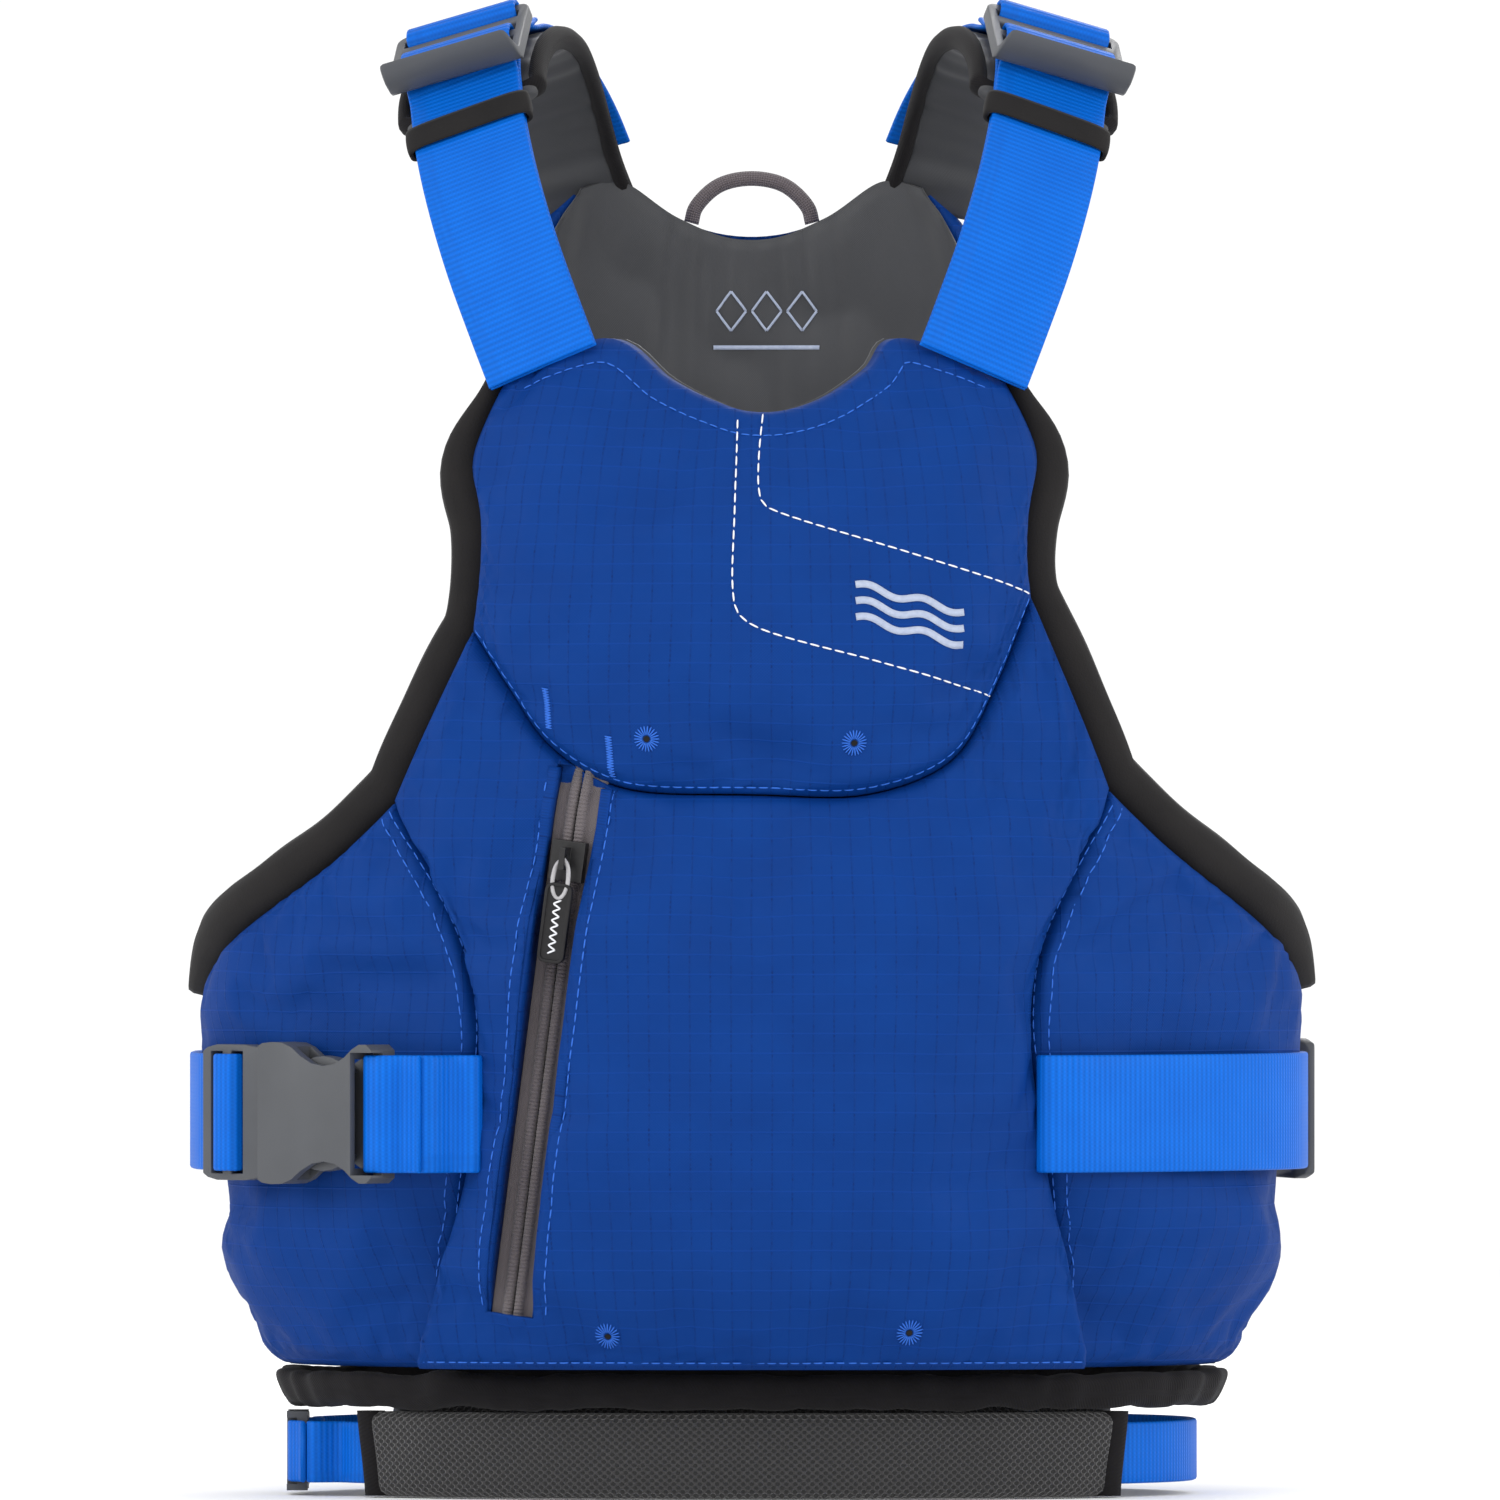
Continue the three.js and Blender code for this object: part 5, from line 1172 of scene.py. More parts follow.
for use, steps in THUMB_LIPS.items():
    lock = block("ladder_lock", (-wide / 2, -depth / 2, 0), (wide / 2, depth / 2, thick))
    picked(lock, upright_edge(lambda m: m.y > 0), "EDGE")
    bpy.ops.mesh.bevel(offset=4, segments=5, affect="EDGES")
    picked(lock, lambda m, f: f.normal.y < -0.9, "FACE")
    for step, narrow, drop in steps:
        bpy.ops.mesh.extrude_region_move(TRANSFORM_OT_translate={"value": step})
        bpy.ops.transform.resize(value=(narrow, 1, drop))
    bpy.ops.object.mode_set(mode="OBJECT")
    carve(lock, *(block("slot", (-half_slot, at - size / 2, -2), (half_slot, at + size / 2, thick + 2))
                  for at, size in ((NEAR, LOCK["slot"]), (FAR, LOCK["slot"]), (HANG, LOCK["hang_slot"]))))
    soften(lock, 0.7, 3)
    for node, (where, body) in lock_places.items():
        if node.startswith(use):
            fitted = bpy.data.objects.new(node.replace("lock", "ladder_lock"), lock.data.copy())
            bpy.context.scene.collection.objects.link(fitted)
            to_room(fitted, where)
            fitted.data.materials.append(acetal)
            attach(fitted, body)
            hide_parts(node)
    bpy.data.objects.remove(lock)


# ------------------------------------------------------------------ waist buckle
# A side-release buckle, moulded in the same acetal. The hollow half is sewn to the right wing. The latch
# half slides out of it, once its two sprung arms, which show in the waisted sides, are squeezed.

LENGTH, BREADTH, THICK, WALL, BAR, SLOT, REACH = 49.4, 46, 11.5, 2.2, 4, 5, 28.5
MOUTH = (-152.5, -75, 125)
RELEASE = np.array([-0.752515, 0.658575, 0])
OUTWARD = np.array([-0.658575, -0.752515, 0])
buckle_frame = axes(MOUTH, RELEASE, (0, 0, -1), OUTWARD)
outline = [(0, 21.6), (-2, 22.6), (-6, 23), (-11, 22.8), (-15, 21.4), (-19, 18.6), (-24, 16.2), (-29, 15.4),
           (-34, 16.2), (-38, 18.3), (-41, 20.8), (-44, 22.4), (-47, 22.4), (-49.4, 20.6)]
body = block("buckle_body", (-LENGTH, -BREADTH / 2, 0), (0, BREADTH / 2, THICK))
bpy.ops.object.mode_set(mode="EDIT")
for x, _ in outline[1:-1]:
    bpy.ops.mesh.select_all(action="SELECT")
    bpy.ops.mesh.bisect(plane_co=(x, 0, 0), plane_no=(1, 0, 0))
for x, half in outline:
    picked(body, lambda m, v: abs(m.x - x) < 0.01)
    bpy.ops.transform.resize(value=(1, half / (BREADTH / 2), 1), center_override=(x, 0, THICK / 2))
for x, _ in outline[1:-1]:
    crown = 0.9 * (1 - ((x + 22) / 27) ** 2)
    picked(body, lambda m, v: abs(m.x - x) < 0.01 and m.z > THICK / 2)
    bpy.ops.transform.translate(value=(0, 0, crown - 0.4))
bpy.ops.object.mode_set(mode="OBJECT")
inside = BREADTH / 2 - 1.5 * WALL - 2
carve(body, block("hollow", (-41, -inside, WALL), (1, inside, THICK - WALL)),
      block("windows", (-37, -BREADTH, WALL), (-14.5, BREADTH, THICK - WALL - 0.4)),
      block("web_slot", (-LENGTH + BAR, -WEB / 2 - 0.8, -2), (-LENGTH + BAR + SLOT, WEB / 2 + 0.8, THICK + 3)),
      block("web_step", (-LENGTH - 2, -WEB / 2 - 0.8, THICK * 0.5),
            (-LENGTH + BAR + SLOT / 2, WEB / 2 + 0.8, THICK + 3)))
soften(body, 0.8, 3)
to_room(body, buckle_frame)
body.data.materials.append(acetal)
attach(body, "vest")
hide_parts("waist_buckle")

latch = block("buckle_latch", (0.4, -BREADTH / 2 + 1, 0), (REACH - 0.4, BREADTH / 2 - 1, THICK * 0.62))
bpy.ops.object.mode_set(mode="EDIT")
for x in (5, 10, 16, 22, 26):
    bpy.ops.mesh.select_all(action="SELECT")
    bpy.ops.mesh.bisect(plane_co=(x, 0, 0), plane_no=(1, 0, 0))
for x, share in ((REACH - 0.4, 0.9), (26, 0.96), (0.4, 0.93), (5, 0.97)):
    picked(latch, lambda m, v: abs(m.x - x) < 0.01)
    bpy.ops.transform.resize(value=(1, share, 1), center_override=(x, 0, 0))
bpy.ops.object.mode_set(mode="OBJECT")
carve(latch, *(block("slot", (x, -WEB / 2 - 0.8, -2), (x + SLOT, WEB / 2 + 0.8, THICK))
               for x in (REACH - BAR - SLOT, REACH - 2 * (BAR + SLOT))))
tongue = block("tongue", (-LENGTH * 0.4, -BREADTH * 0.08, WALL + 0.4), (2, BREADTH * 0.08, THICK - WALL - 1.4))
carve(latch, tongue, how="UNION")
soften(latch, 0.7, 3)
to_room(latch, buckle_frame)
latch.data.materials.append(acetal)
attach(latch, "waist_latch")
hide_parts("waist_latch")

for name, side in (("upper", 1), ("lower", -1)):
    arm = block("buckle_arm_" + name, (-36, 12.2, WALL + 0.5), (0.1, 15.2, THICK - WALL - 1.3))
    bpy.ops.object.mode_set(mode="EDIT")
    for x in (-33, -29, -25, -21, -17, -12):
        bpy.ops.mesh.select_all(action="SELECT")
        bpy.ops.mesh.bisect(plane_co=(x, 0, 0), plane_no=(1, 0, 0))
    for x, low, high in ((-36, 13.2, 14.4), (-33, 12.6, 16.8), (-29, 12.4, 18.2), (-25, 12.3, 18.7),
                         (-21, 12.3, 18.2), (-17, 12.3, 16.6), (-12, 12.4, 14.8), (0.1, 12.2, 15.0)):
        for is_high, y in ((False, low), (True, high)):
            picked(arm, lambda m, v: abs(m.x - x) < 0.01 and (m.y > 13.7) == is_high)
            bpy.ops.transform.translate(value=(0, y - (15.2 if is_high else 12.2), 0))
    bpy.ops.object.mode_set(mode="OBJECT")
    soften(arm, 0.6, 2)
    if side < 0:
        arm.data.transform(Matrix.Scale(-1, 4, (0, 1, 0)))
        arm.data.flip_normals()
    to_room(arm, buckle_frame)
    arm.data.materials.append(acetal)
    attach(arm, "waist_arm_" + name)
    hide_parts("waist_latch_arm_" + name)


# ------------------------------------------------------------------ waist webbing
# The right side's webbing is sewn into the wing seam and round the buckle's bar. The left side's stays
# closed and is drawn up through its lock.

def in_buckle(frame_matrix):
    m = np.array(frame_matrix)
    return lambda x, z: m[:3, :3] @ np.array([x, 0, z]) + m[:3, 3] - SHIFT


def waist(angle, out):
    return on_form(angle, 125.0, out)


def on_wing(x):
    return on_form(angle_at(x, 125.0, SEAM_DEPTH + 6), 125.0, SEAM_DEPTH + 6)


def round_buckle_bar(on, length, bar, slot, thickness):
    past = thickness * 0.5 + TURN + 0.3
    return [on(-length - 12, -1.2), on(-length + bar, -1.5), on(-length + bar + slot / 2, 1),
            on(-length + bar + slot / 2 - 0.6, past), on(-length + bar / 2, past + 0.6),
            on(-length - 1.6, past - 1), on(-length - 5, 1.8), on(-length - 12, 1.2)]


def over_latch_bar(on, bar, slot, thickness, reach):
    first = reach - slot / 2 - bar
    second = first - bar - slot
    top = thickness * 0.62 + TURN + 0.2
    return [on(reach + 6, -1.4), on(first + 1, -1.5), on(first, 1.2), on(first - 0.8, top - 0.4),
            on((first + second) / 2, top + 0.2), on(second + 0.8, top - 0.4), on(second, 1.2),
            on(second + 1, -2), on(first, -3.9), on(reach + 6, -3.9)]


DOWN = (0, 0, -1)
on_waist = in_buckle(buckle_frame)
strip_of_webbing("waist_web_right_sewn", [on_wing(-87.5) + (0, 3.5, 0), on_wing(-90), on_wing(-96),
                                          *round_buckle_bar(on_waist, LENGTH, BAR, SLOT, THICK)],
                 DOWN, "waist_strap_right")
strip_of_webbing("waist_web_right_drawn", [waist(-132, 32), waist(-122, 29), waist(-110, 25), waist(-98, 22.5),
                                           *over_latch_bar(on_waist, BAR, SLOT, THICK, REACH)],
                 DOWN, "waist_webbing_right",
                 latch=("waist_latch", metres(waist(-130, 31)), metres(on_waist(REACH + 7, -1))))
waist_lock = np.array(lock_places["waist_lock"][0])
local = lambda y, z: waist_lock[:3, :3] @ np.array([0, y, z]) + waist_lock[:3, 3] - SHIFT
strip_of_webbing("waist_web_left", [on_wing(92.5) + (0, 4.5, 0), on_wing(96), on_wing(102), on_wing(106),
                                    *(waist(a, out) for a, out in [(44, 28), (58, 25), (72, 22.6), (82, 20.8),
                                                                   (90, 19)]),
                                    *over_gripping_bar(local), local(-16, -5.4), local(-30, -6)],
                 DOWN, "waist_strap_left")
strip_of_webbing("waist_tail_left", [waist(136, 32.6), waist(128, 32.2), waist(121, 28.4),
                                     *round_hanging_bar(local), waist(119.6, 31), waist(125, 35.3)],
                 DOWN, "waist_hanger_left")


# ------------------------------------------------------------------ hem binding
# Black stretch binding turned over the foot of the panels, all the way round, a little uneven where the
# foam inside swells and where it is gathered.

for name, low, high in (("front", -SIDE_ANGLE, SIDE_ANGLE), ("back", SIDE_ANGLE, 360 - SIDE_ANGLE)):
    angles = np.linspace(low, high, 150 if name == "front" else 200)
    s = round_length(angles)
    turn = np.linspace(0, 2 * np.pi, 25)[:-1]
    c = np.sign(np.cos(turn)) * np.abs(np.cos(turn)) ** 0.6
    h = np.sign(np.sin(turn)) * np.abs(np.sin(turn)) ** 0.8
    uneven = rumple(s, s * 0, 71, 18, 60)
    ripple = rumple(s, s * 0, 72, 7, 16)
    middle = 34.6 + 0.5 * uneven
    outs = 4.2 + (5.2 + 0.35 * ripple + 0.5 * uneven)[:, None] * c
    heights = middle[:, None] + (5.7 + 0.3 * ripple)[:, None] * h
    rings = metres(on_form(np.broadcast_to(angles[:, None], outs.shape), heights, outs))
    maps = np.stack([np.broadcast_to(turn * 4.2, outs.shape), np.broadcast_to(s[:, None], outs.shape)], -1) / 1000
    trim = tube("hem_tape_" + name, rings, maps, binding)
    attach(trim, "vest")
    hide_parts("hem_binding_" + name)


# ------------------------------------------------------------------ waist belt
# A mesh-faced padded belt, front and back, joined by 20 mm webbing with a small side-release buckle on the
# right. The pads' ends are bound in black.

BELT_LINE = 14
PAD_TOP = 27.6
for name, low, high in (("front", -53.5, 49), ("back", 130, 230)):
    sheet = lambda u, v, a=low, b=high: np.stack([a + (b - a) * u, PAD_TOP * v], -1)
    edges = lambda u, v, s, z: (-2.6 * (1 - np.sqrt(1 - (1 - np.clip(np.minimum(z, PAD_TOP - z) / 4, 0, 1)) ** 2))
                                + 0.25 * rumple(s, z, 77, 25, 60))
    belt_pad, _ = layer("belt_cushion_" + name, sheet, 0.4, 6.0, 1.6, edges, spacer)
    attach(belt_pad, "vest")
    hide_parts("belt_pad_" + name)
for name, low, high in (("right", -57, -53.3), ("left", 48.8, 52.5)):
    turn = np.linspace(0, 2 * np.pi, 17)[:-1]
    heights = np.linspace(0.2, 27.8, 24)
    outs = 3.4 + 3.8 * np.sin(turn)
    middle, half = (low + high) / 2, (high - low) / 2 + 0.4
    rings = [metres(on_form(middle + half * np.sign(np.cos(turn)) * np.abs(np.cos(turn)) ** 0.6, np.full(16, z),
                            outs)) for z in heights]
    maps = np.stack(np.meshgrid(heights, turn * 2.4, indexing="ij")[::-1], -1) / 1000
    bound = tube("belt_binding_" + name, np.array(rings), maps, binding)
    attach(bound, "vest")
    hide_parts("belt_end_" + name)

belt_frame = axes((-144.8743, -2, BELT_LINE), (0, 1, 0), (0, 0, -1), (-1, 0, 0))
on_belt = in_buckle(belt_frame)
B_LENGTH, B_BAR, B_SLOT, B_THICK, B_REACH = 26, 2.2947, 3.2, 6.7632, 15


def girth(low, high):
    count = max(2, int(round(abs(high - low) / 4)) + 1)
    return [on_form(a, float(BELT_LINE), 3.0) for a in np.linspace(low, high, count)]


strip_of_webbing("belt_web_right", [*girth(-57.4, -66), *round_buckle_bar(on_belt, B_LENGTH, B_BAR, B_SLOT, B_THICK)],
                 DOWN, "belt_webbing_right", 20)
strip_of_webbing("belt_web_back", [*girth(-129.2, -116), *over_latch_bar(on_belt, B_BAR, B_SLOT, B_THICK, B_REACH)],
                 DOWN, "belt_webbing_back", 20,
                 latch=("belt_latch", metres(girth(-129, -116)[0]), metres(on_belt(B_REACH + 6, -1))))
strip_of_webbing("belt_web_left", girth(52.9, 129.6), DOWN, "belt_webbing_left", 20)


def mottled(name, roughness, specular, noise, dark, pale, relief=None):
    """A finish that wanders between two tones. noise is its scale and detail, relief its height in metres."""
    look, tree, shader = finish_named(name, roughness, Specular_IOR_Level=specular)
    place = add(tree, "TexCoord").outputs["Object"]
    cloudy = add(tree, "TexNoise", {"Vector": place, "Scale": noise[0], "Detail": noise[1]})
    tone = add(tree, "MixRGB", {"Fac": cloudy, "Color1": linear(dark), "Color2": linear(pale)})
    tree.links.new(tone.outputs[0], shader.inputs["Base Color"])
    if relief is not None:
        emboss(tree, shader, cloudy, 0.3, relief)
    return look


# Black enamel on a zinc casting: near black, half glossy, a little worn.
enamel = mottled("black_enamelled_die_casting", 0.35, 0.45, (700.0, 3.0), "#0c0c0d", "#1d1c1e")
for node in ("belt_buckle", "belt_latch", "belt_latch_arm_upper", "belt_latch_arm_lower", "zip_slider"):
    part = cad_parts[node]
    part.data.materials.clear()
    part.data.materials.append(enamel if node == "zip_slider" else acetal)
    weld = part.modifiers.new("weld", "WELD")
    weld.merge_threshold = 0.00001
    edge = part.modifiers.new("edges", "BEVEL")
    edge.width, edge.segments, edge.limit_method = 0.00035, 2, "ANGLE"


# ------------------------------------------------------------------ hanging loop
# A short length of 5 mm braided accessory cord, grey-brown, sewn into the back neckline at both ends.

LOOP_AT = (0, 86.649, 414.5)
LOOP_CORD = 5.0
loop_line = Line([np.array(LOOP_AT) + p for p in [[-20, 0, 2.3], [-18.5, 0, 7.4], [-11, 0, 14.6], [0, 0, 17],
                                                  [11, 0, 14.6], [18.5, 0, 7.4], [20, 0, 2.3]]])
braid, tree, shader = finish_named("braided_polyester_cord", 0.8, Sheen_Weight=0.15, Sheen_Roughness=0.5)
place = add(tree, "TexCoord").outputs["UV"]
strand_a = add(tree, "Mapping", {"Vector": place, "Scale": [2000 * math.pi / 1.6] * 3})
thread = add(tree, "SeparateXYZ", {"Vector": strand_a})
plus = add(tree, "Math", {0: thread.outputs["X"], 1: thread.outputs["Y"]}, operation="ADD")
minus = add(tree, "Math", {0: thread.outputs["X"], 1: thread.outputs["Y"]}, operation="SUBTRACT")
plus = add(tree, "Math", {0: plus}, operation="SINE")
minus = add(tree, "Math", {0: minus}, operation="SINE")
plait = add(tree, "Math", {0: plus, 1: minus}, operation="MULTIPLY")
shade = add(tree, "MapRange", {"Value": plait, "From Min": -1.0, "To Min": 0.0, "To Max": 1.0})
cloth = add(tree, "MixRGB", {"Fac": shade, "Color1": linear("#4a4345"), "Color2": linear("#6f666a")})
tree.links.new(cloth.outputs[0], shader.inputs["Base Color"])
emboss(tree, shader, shade, 0.7, 0.0004)
turn = np.linspace(0, 2 * np.pi, 19)[:-1]
loop = swept("hanging_loop", loop_line, (0, 1, 0), np.linspace(0, 1, 60),
             [(LOOP_CORD / 2 * math.cos(a), LOOP_CORD / 2 * math.sin(a)) for a in turn], braid)
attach(loop, "hang_loop")
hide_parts("hang_loop")
cord_path = metres(loop_line.at(np.linspace(0, 1, 60)))


# ------------------------------------------------------------------ zip pull
# A moulded black rubber tab with a raised rim, held to the slider by a bow of clear cord. White thread is
# sewn down its middle as a zigzag, so that it can be found at a glance.

TAB = (9.0, 26.0, 2.6)
# Moulded rubber, matt black with a fine grain; clear nylon cord, pale and glossy; polyester sewing thread.
rubber = mottled("moulded_black_rubber", 0.6, 0.3, (900.0, 3.0), "#111011", "#1f1e20", 0.0001)
gum = mottled("clear_nylon_cord", 0.3, 0.5, (500.0, 2.0), "#8d8b8d", "#b3b2b4")
thread_white = mottled("white_polyester_thread", 0.7, 0.2, (1800.0, 2.0), "#d4d6dc", "#f0f1f4")
thread_blue = mottled("blue_polyester_thread", 0.6, 0.2, (1800.0, 2.0), "#1c55b8", "#3a74d2")


def faced_outwards(made):
    shell = bmesh.new()
    shell.from_mesh(made.data)
    bmesh.ops.recalc_face_normals(shell, faces=shell.faces)
    shell.to_mesh(made.data)
    shell.free()
    return made


def threads(name, stitches, radius, look, sides=6):
    """Straight stitches as one mesh. Each is (start, end, outward), in metres, and sinks in at its ends."""
    points, faces = [], []
    for start, end, outward in stitches:
        start, end, outward = (np.array(v, float) for v in (start, end, outward))
        way = end - start
        size = np.linalg.norm(way)
        if size < 1e-6:
            continue
        way /= size
        beside = np.cross(way, outward)
        beside /= np.linalg.norm(beside)
        up = np.cross(beside, way)
        first = len(points)
        for share, fat, sunk in ((0, 0.35, 0.5), (0.15, 0.9, 0.0), (0.5, 1.0, -0.15), (0.85, 0.9, 0.0),
                                 (1, 0.35, 0.5)):
            for a in np.linspace(0, 2 * np.pi, sides + 1)[:-1]:
                points.append(start + way * size * share - up * radius * sunk
                              + radius * fat * (math.cos(a) * beside + math.sin(a) * up))
        for ring in range(4):
            for k in range(sides):
                a, b = first + ring * sides + k, first + ring * sides + (k + 1) % sides
                faces.append((a, b, b + sides, a + sides))
        faces += [tuple(range(first, first + sides))[::-1], tuple(range(first + 4 * sides, first + 5 * sides))]
    return faced_outwards(mesh_of(name, points, faces, look=look))


tab_top = PULL_PIVOT[0] - 8
tab = block("zip_tab", (-TAB[0] / 2, tab_top - TAB[1], 1.0), (TAB[0] / 2, tab_top, 1.0 + TAB[2]))
picked(tab, upright_edge(lambda m: True), "EDGE")
bpy.ops.mesh.bevel(offset=2.6, segments=5, affect="EDGES")
picked(tab, lambda m, f: f.normal.z > 0.9, "FACE")
bpy.ops.mesh.inset(thickness=1.1)
bpy.ops.mesh.extrude_region_move(TRANSFORM_OT_translate={"value": (0, 0, -0.7)})
bpy.ops.object.mode_set(mode="OBJECT")
soften(tab, 0.3, 2)
to_room(tab, ZIP_FRAME)
tab.data.materials.append(rubber)
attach(tab, "pull")
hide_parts("zip_pull")
bow_line = [[0.0, PULL_PIVOT[0], 2.3], [1.9, PULL_PIVOT[0] - 2.5, 2.7], [2.5, tab_top - 0.5, 2.7],
            [1.4, tab_top - 4, 2.5], [0.0, tab_top - 5, 2.4], [-1.4, tab_top - 4, 2.5], [-2.5, tab_top - 0.5, 2.7],
            [-1.9, PULL_PIVOT[0] - 2.5, 2.7], [0.0, PULL_PIVOT[0], 2.3]]
bow_points = Line(bow_line, 60).at(np.linspace(0, 1, 50)[:-1])
rings = []
for k, spot in enumerate(bow_points):
    way = bow_points[(k + 1) % 49] - bow_points[k - 1]
    way /= np.linalg.norm(way)
    beside = np.cross(way, (0, 0, 1))
    rings.append([spot + 0.75 * (math.cos(a) * beside + math.sin(a) * np.array([0, 0, 1]))
                  for a in np.linspace(0, 2 * np.pi, 11)[:-1]])
bow_cord = tube("zip_cord_bow", on_zip(rings), None, gum, closed=True)
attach(bow_cord, "pull")
zig = [((-1) ** k * 1.3, tab_top - 5.5 - 1.35 * k, 3.05) for k in range(14)]
face_out = np.array(ZIP_FRAME)[:3, 2]
zigzag = threads("zip_tab_zigzag", [(on_zip(a), on_zip(b), face_out) for a, b in zip(zig, zig[1:])], 0.00032,
                 thread_white)
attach(zigzag, "pull")


# ------------------------------------------------------------------ stitching
# Lockstitch in blue polyester thread beside every seam, 3 mm to the stitch, and two decorative lines of
# white thread on the chest. Short satin bartacks and sewn eyelets take the load where webbing passes.

STITCH, GAP_BETWEEN = 3.1, 0.9          # mm
BARTACK_WIDTH, SATIN_STEP = 2.4, 0.42
EYELET_STITCHES, EYELET_RADII = 22, (1.2, 4.2)
SATIN_LIFT = 0.0002                     # m


def laid(panel_name, angle, z):
    """Where a needle that comes in square to the form meets a panel, and which way the cloth faces there."""
    start, goal = (metres(on_form(angle, z, out)) for out in (70, -20))
    spot, normal, _, _ = surfaces[panel_name].ray_cast(Vector(start), Vector(goal - start).normalized())
    if spot is None:
        return None
    normal = np.array(normal)
    outward = start - goal
    return np.array(spot), normal if normal.dot(outward) > 0 else -normal


def stitch(panel_name, ends, lift):
    """One stitch between two (angle, height) points, as a list that is empty where it would miss the cloth."""
    spots = [laid(panel_name, *end) for end in ends]
    if any(spot is None for spot in spots):
        return []
    (start, facing), (end, end_facing) = spots
    return [(start + lift * facing, end + lift * end_facing, facing)]


def run_of_stitches(panel_name, course, lift=0.00012):
    """Stitches along a course of (angle, height) points."""
    course = np.array(course, float)
    flat = np.stack([round_length(course[:, 0]), course[:, 1]], -1)
    along = np.concatenate([[0], np.cumsum(np.linalg.norm(np.diff(flat, axis=0), axis=1))])
    found = []
    for start in np.arange(0.5, along[-1] - STITCH, STITCH + GAP_BETWEEN):
        ends = []
        for at in (start, start + STITCH):
            s, z = np.interp(at, along, flat[:, 0]), np.interp(at, along, flat[:, 1])
            ends.append((float(angle_of(s)), float(z)))
        found += stitch(panel_name, ends, lift)
    return found


def beside_seam(curve, distance, low=0.01, high=0.99, side=1):
    """A course that keeps a distance, mm, from a seam's curve."""
    points = curve(np.linspace(low, high, 160))
    flat = np.stack([round_length(points[:, 0]), points[:, 1]], -1)
    way = np.gradient(flat, axis=0)
    way /= np.linalg.norm(way, axis=1, keepdims=True)
    flat = flat + side * distance * np.stack([-way[:, 1], way[:, 0]], -1)
    return np.stack([angle_of(flat[:, 0]), flat[:, 1]], -1)


def seen_at(points):
    return [[float(angle_at(x, z, SEAM_DEPTH + 6)), z] for x, z in points]


blue_runs = run_of_stitches("chest_panel", beside_seam(curves["chest_seam"], 2.4))
blue_runs += run_of_stitches("chest_panel", beside_seam(curves["neckline"], 8.0, 0.03, 0.97, side=-1))
blue_runs += run_of_stitches("front_panel", beside_seam(curves["hem"], 2.6))
for name, side in (("right", -1), ("left", 1)):
    for distance in (2.2, 5.6):
        blue_runs += run_of_stitches("wing_panel_" + name, beside_seam(curves["wing_seam_" + name], distance,
                                                                       side=-side))
for side in (-1, 1):
    y = np.linspace(-ZIP_LENGTH / 2 + 1, ZIP_LENGTH / 2 + ZIP_RUN_ON - 5, 60)
    spots = on_zip([[side * (ZIP_SIGHT / 2 + 4.2), k, 0] for k in y]) * 1000 - SHIFT
    blue_runs += run_of_stitches("front_panel", seen_at([(p[0], p[2]) for p in spots]))
white_lines = [
    [(-8.1, 353.9), (-8.6, 322), (-9.1, 293.9), (-7.6, 287), (-2.3, 282.5), (37, 271), (77.3, 259.8)],
    [(1.6, 355.5), (-0.65, 336.1), (-0.65, 326.3), (0.6, 322), (4.2, 319.8), (48, 306), (94.2, 291.3)],
]
white_runs = []
for course in white_lines:
    bent = Line([[x, 0, z] for x, z in course], 40).at(np.linspace(0, 1, 120))
    white_runs += run_of_stitches("chest_panel", seen_at([(p[0] - SHIFT[0], p[2]) for p in bent]), SATIN_LIFT)
for x, high, low in ((-66.7, 262.4, 249.5), (-46.4, 246.8, 234.0)):
    for k, z in enumerate(np.arange(low, high, SATIN_STEP)):
        ends = seen_at([(x + BARTACK_WIDTH / 2 * (-1) ** (k + j), z + SATIN_STEP * j) for j in (0, 1)])
        blue_runs += stitch("chest_panel", ends, SATIN_LIFT)
holes = []
for panel_name, x, z in (("chest_panel", -33.7, 246.1), ("chest_panel", 32.9, 244.8),
                         ("front_panel", -47.7, 53.3), ("front_panel", 51.4, 54.5)):
    for k in range(EYELET_STITCHES):
        a = 2 * math.pi * k / EYELET_STITCHES
        ends = seen_at([(x + r * math.cos(a), z + r * math.sin(a)) for r in EYELET_RADII])
        blue_runs += stitch(panel_name, ends, SATIN_LIFT)
    spot = laid(panel_name, *seen_at([(x, z)])[0])
    if spot is not None:
        holes.append(spot)
for name, runs, radius, look in (("blue_stitching", blue_runs, 0.00026, thread_blue),
                                 ("white_stitching", white_runs, 0.0003, thread_white)):
    sewn = threads(name, runs, radius, look)
    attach(sewn, "vest")
# The eyelets' holes are not cut: each is a short black disc on the cloth, painted shade for the dark inside of the
# hole.
shade_discs, shade_disc_faces = [], []
for spot, facing in holes:
    beside = np.cross(facing, (0, 0, 1))
    beside /= np.linalg.norm(beside)
    upward = np.cross(beside, facing)
    first = len(shade_discs)
    for lift, size in ((-0.0004, 0.001), (0.00035, 0.001)):
        shade_discs += [spot + facing * lift + size * (math.cos(a) * beside + math.sin(a) * upward)
                  for a in np.linspace(0, 2 * np.pi, 15)[:-1]]
    shade_disc_faces += [(first + k, first + (k + 1) % 14, first + 14 + (k + 1) % 14, first + 14 + k) for k in range(14)]
    shade_disc_faces += [tuple(range(first, first + 14))[::-1], tuple(range(first + 14, first + 28))]
eyelets = mesh_of("eyelet_hole_shade_discs", shade_discs, shade_disc_faces, look=neoprene, smooth_faces=False)
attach(eyelets, "vest")


# ------------------------------------------------------------------ printed marks
# Plain decoration in pale ink, on the chest three slanting wave strokes, and inside the back a row of
# outlined diamonds over a bar.

# Screen printing ink: pale blue-grey, matt, slightly patchy.
ink = mottled("pale_grey_printing_ink", 0.7, 0.15, (600.0, 3.0), "#8f9ab4", "#b4bccd")


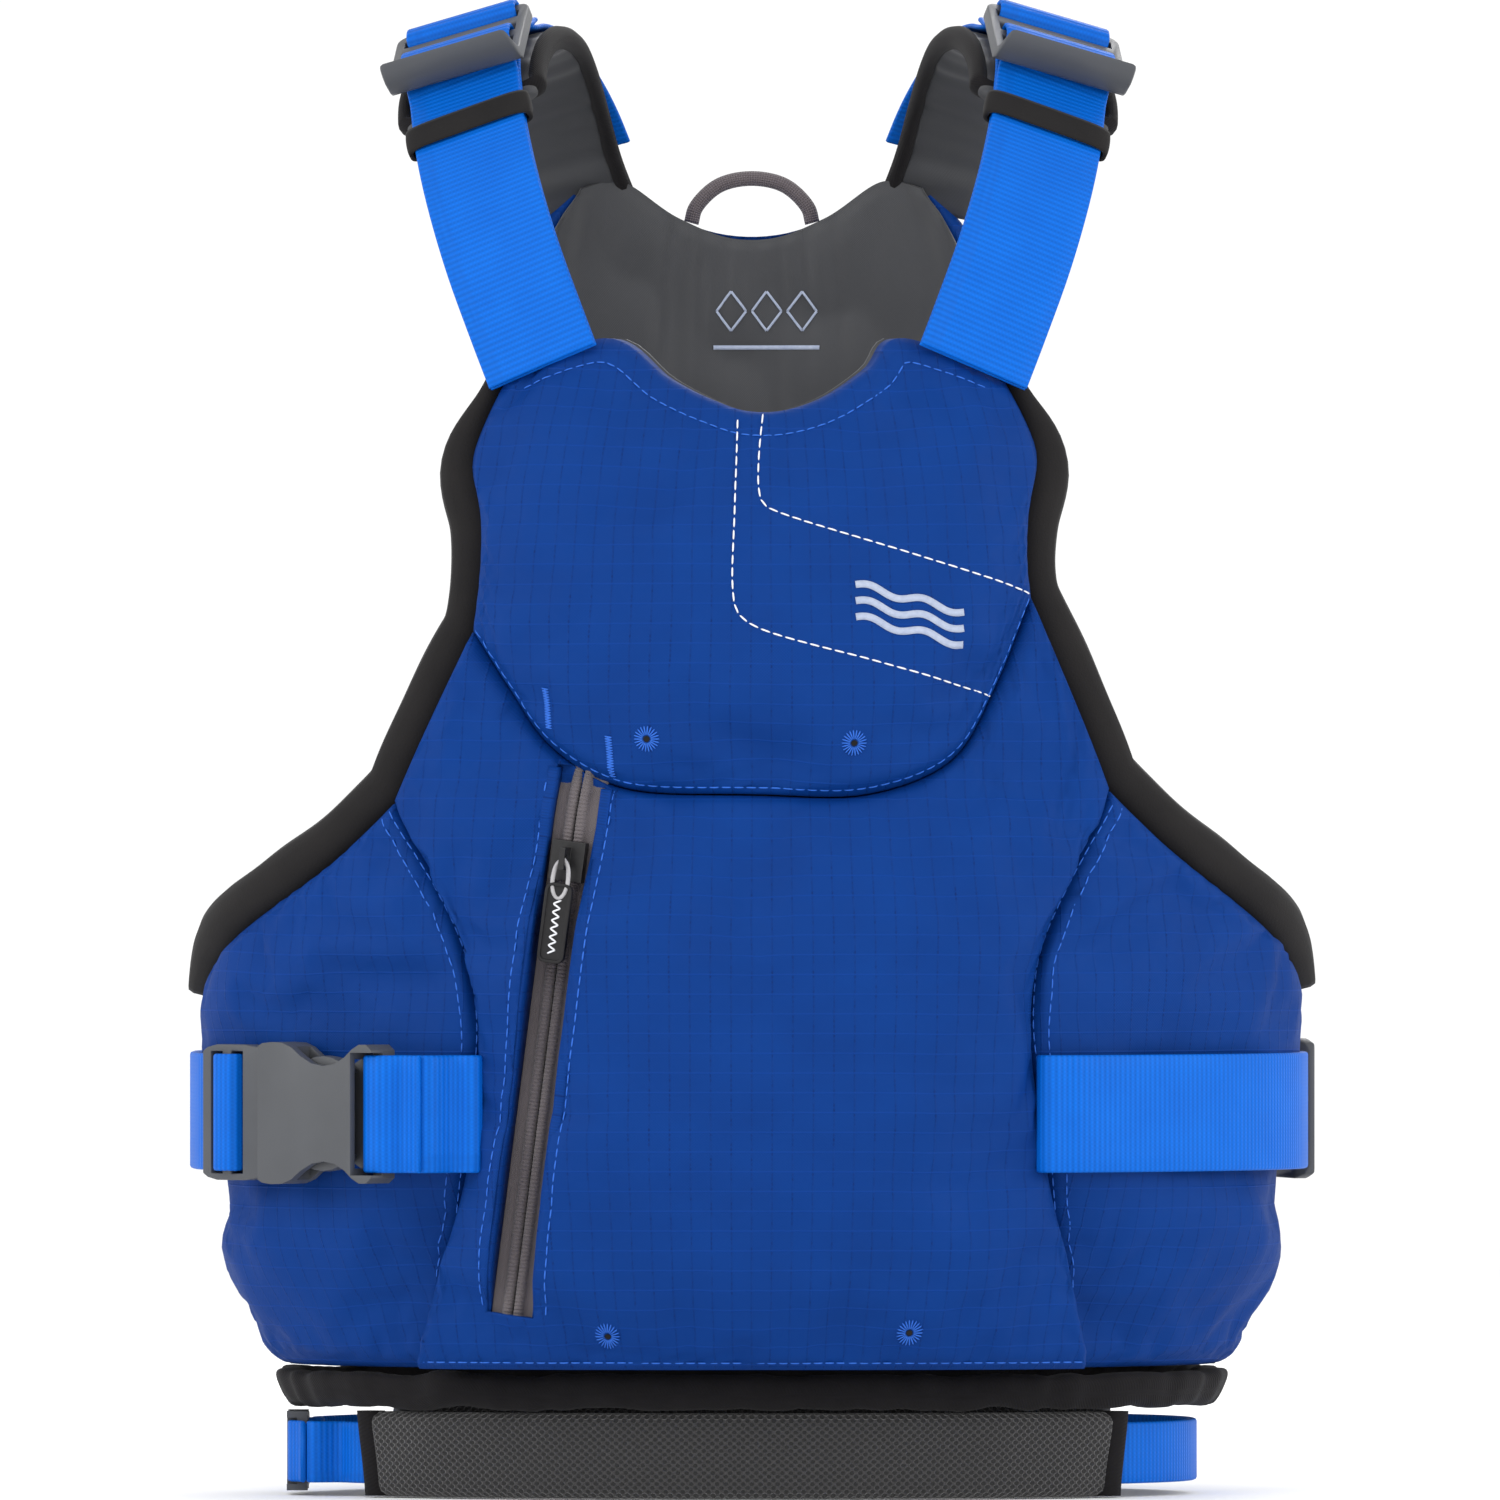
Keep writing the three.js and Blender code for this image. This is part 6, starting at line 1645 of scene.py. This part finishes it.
def printed(name, strokes, panel_name, place_on, look):
    """Ink ribbons on a panel: each stroke is ([(x, z)], width), mm."""
    points, faces = [], []
    for course, width in strokes:
        course = np.array(course, float)
        way = np.gradient(course, axis=0)
        way /= np.linalg.norm(way, axis=1, keepdims=True)
        beside = np.stack([-way[:, 1], way[:, 0]], -1) * width / 2
        rows = []
        for sign in (-1, 1):
            row = [place_on(panel_name, *p) for p in course + sign * beside]
            rows.append(row)
        if any(p is None for row in rows for p in row):
            continue
        first, n = len(points), len(course)
        for lift in (0.00015, 0.00035):
            for row in rows:
                points += [p + lift * f for p, f in row]
        for k in range(n - 1):
            a, b, c, d = (first + m * n + k for m in range(4))
            faces += [(c, c + 1, d + 1, d), (a, b, b + 1, a + 1), (a, a + 1, c + 1, c), (b, d, d + 1, b + 1)]
        faces += [tuple(first + m * n for m in (0, 2, 3, 1)), tuple(first + m * n + n - 1 for m in (0, 1, 3, 2))]
    made = faced_outwards(mesh_of(name, points, faces, look=look))
    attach(made, "vest")


def on_chest(panel_name, x, z):
    return laid(panel_name, *seen_at([(x, z)])[0])


def in_back(panel_name, x, z):
    """On the lining's inner face, seen from the wearer's side."""
    angle = 180 - float(angle_at(x, z, 0))
    start, goal = (metres(on_form(angle, z, out)) for out in (-40, 20))
    spot, normal, _, _ = surfaces[panel_name].ray_cast(Vector(start), Vector(goal - start).normalized())
    if spot is None:
        return None
    normal = np.array(normal)
    return np.array(spot), normal if normal.dot(start - goal) > 0 else -normal


waves = []
for row in range(3):
    x = np.linspace(33.0, 67.0, 40)
    z = 297 - 5.2 * row - (x - 33) * 0.26 - 1.2 + 1.1 * np.sin((x - 33) / 34 * 4 * np.pi)
    waves.append((np.stack([x, z], -1), 2.3))
printed("chest_mark", waves, "chest_panel", on_chest, ink)
diamonds = []
for middle in (-12, 0, 12):
    x = middle + 5 + np.array([0, 5, 0, -5, 0])
    corners = np.stack([x, 387.5 + np.array([6.5, 0, -6.5, 0, 6.5])], -1)
    for a, b in zip(corners, corners[1:]):
        diamonds.append((np.linspace(a, b, 8), 0.8))
diamonds.append((np.linspace((-13, 375.5), (23, 375.5), 24), 1.4))
printed("back_mark", diamonds, "back_lining_cloth", in_back, ink)
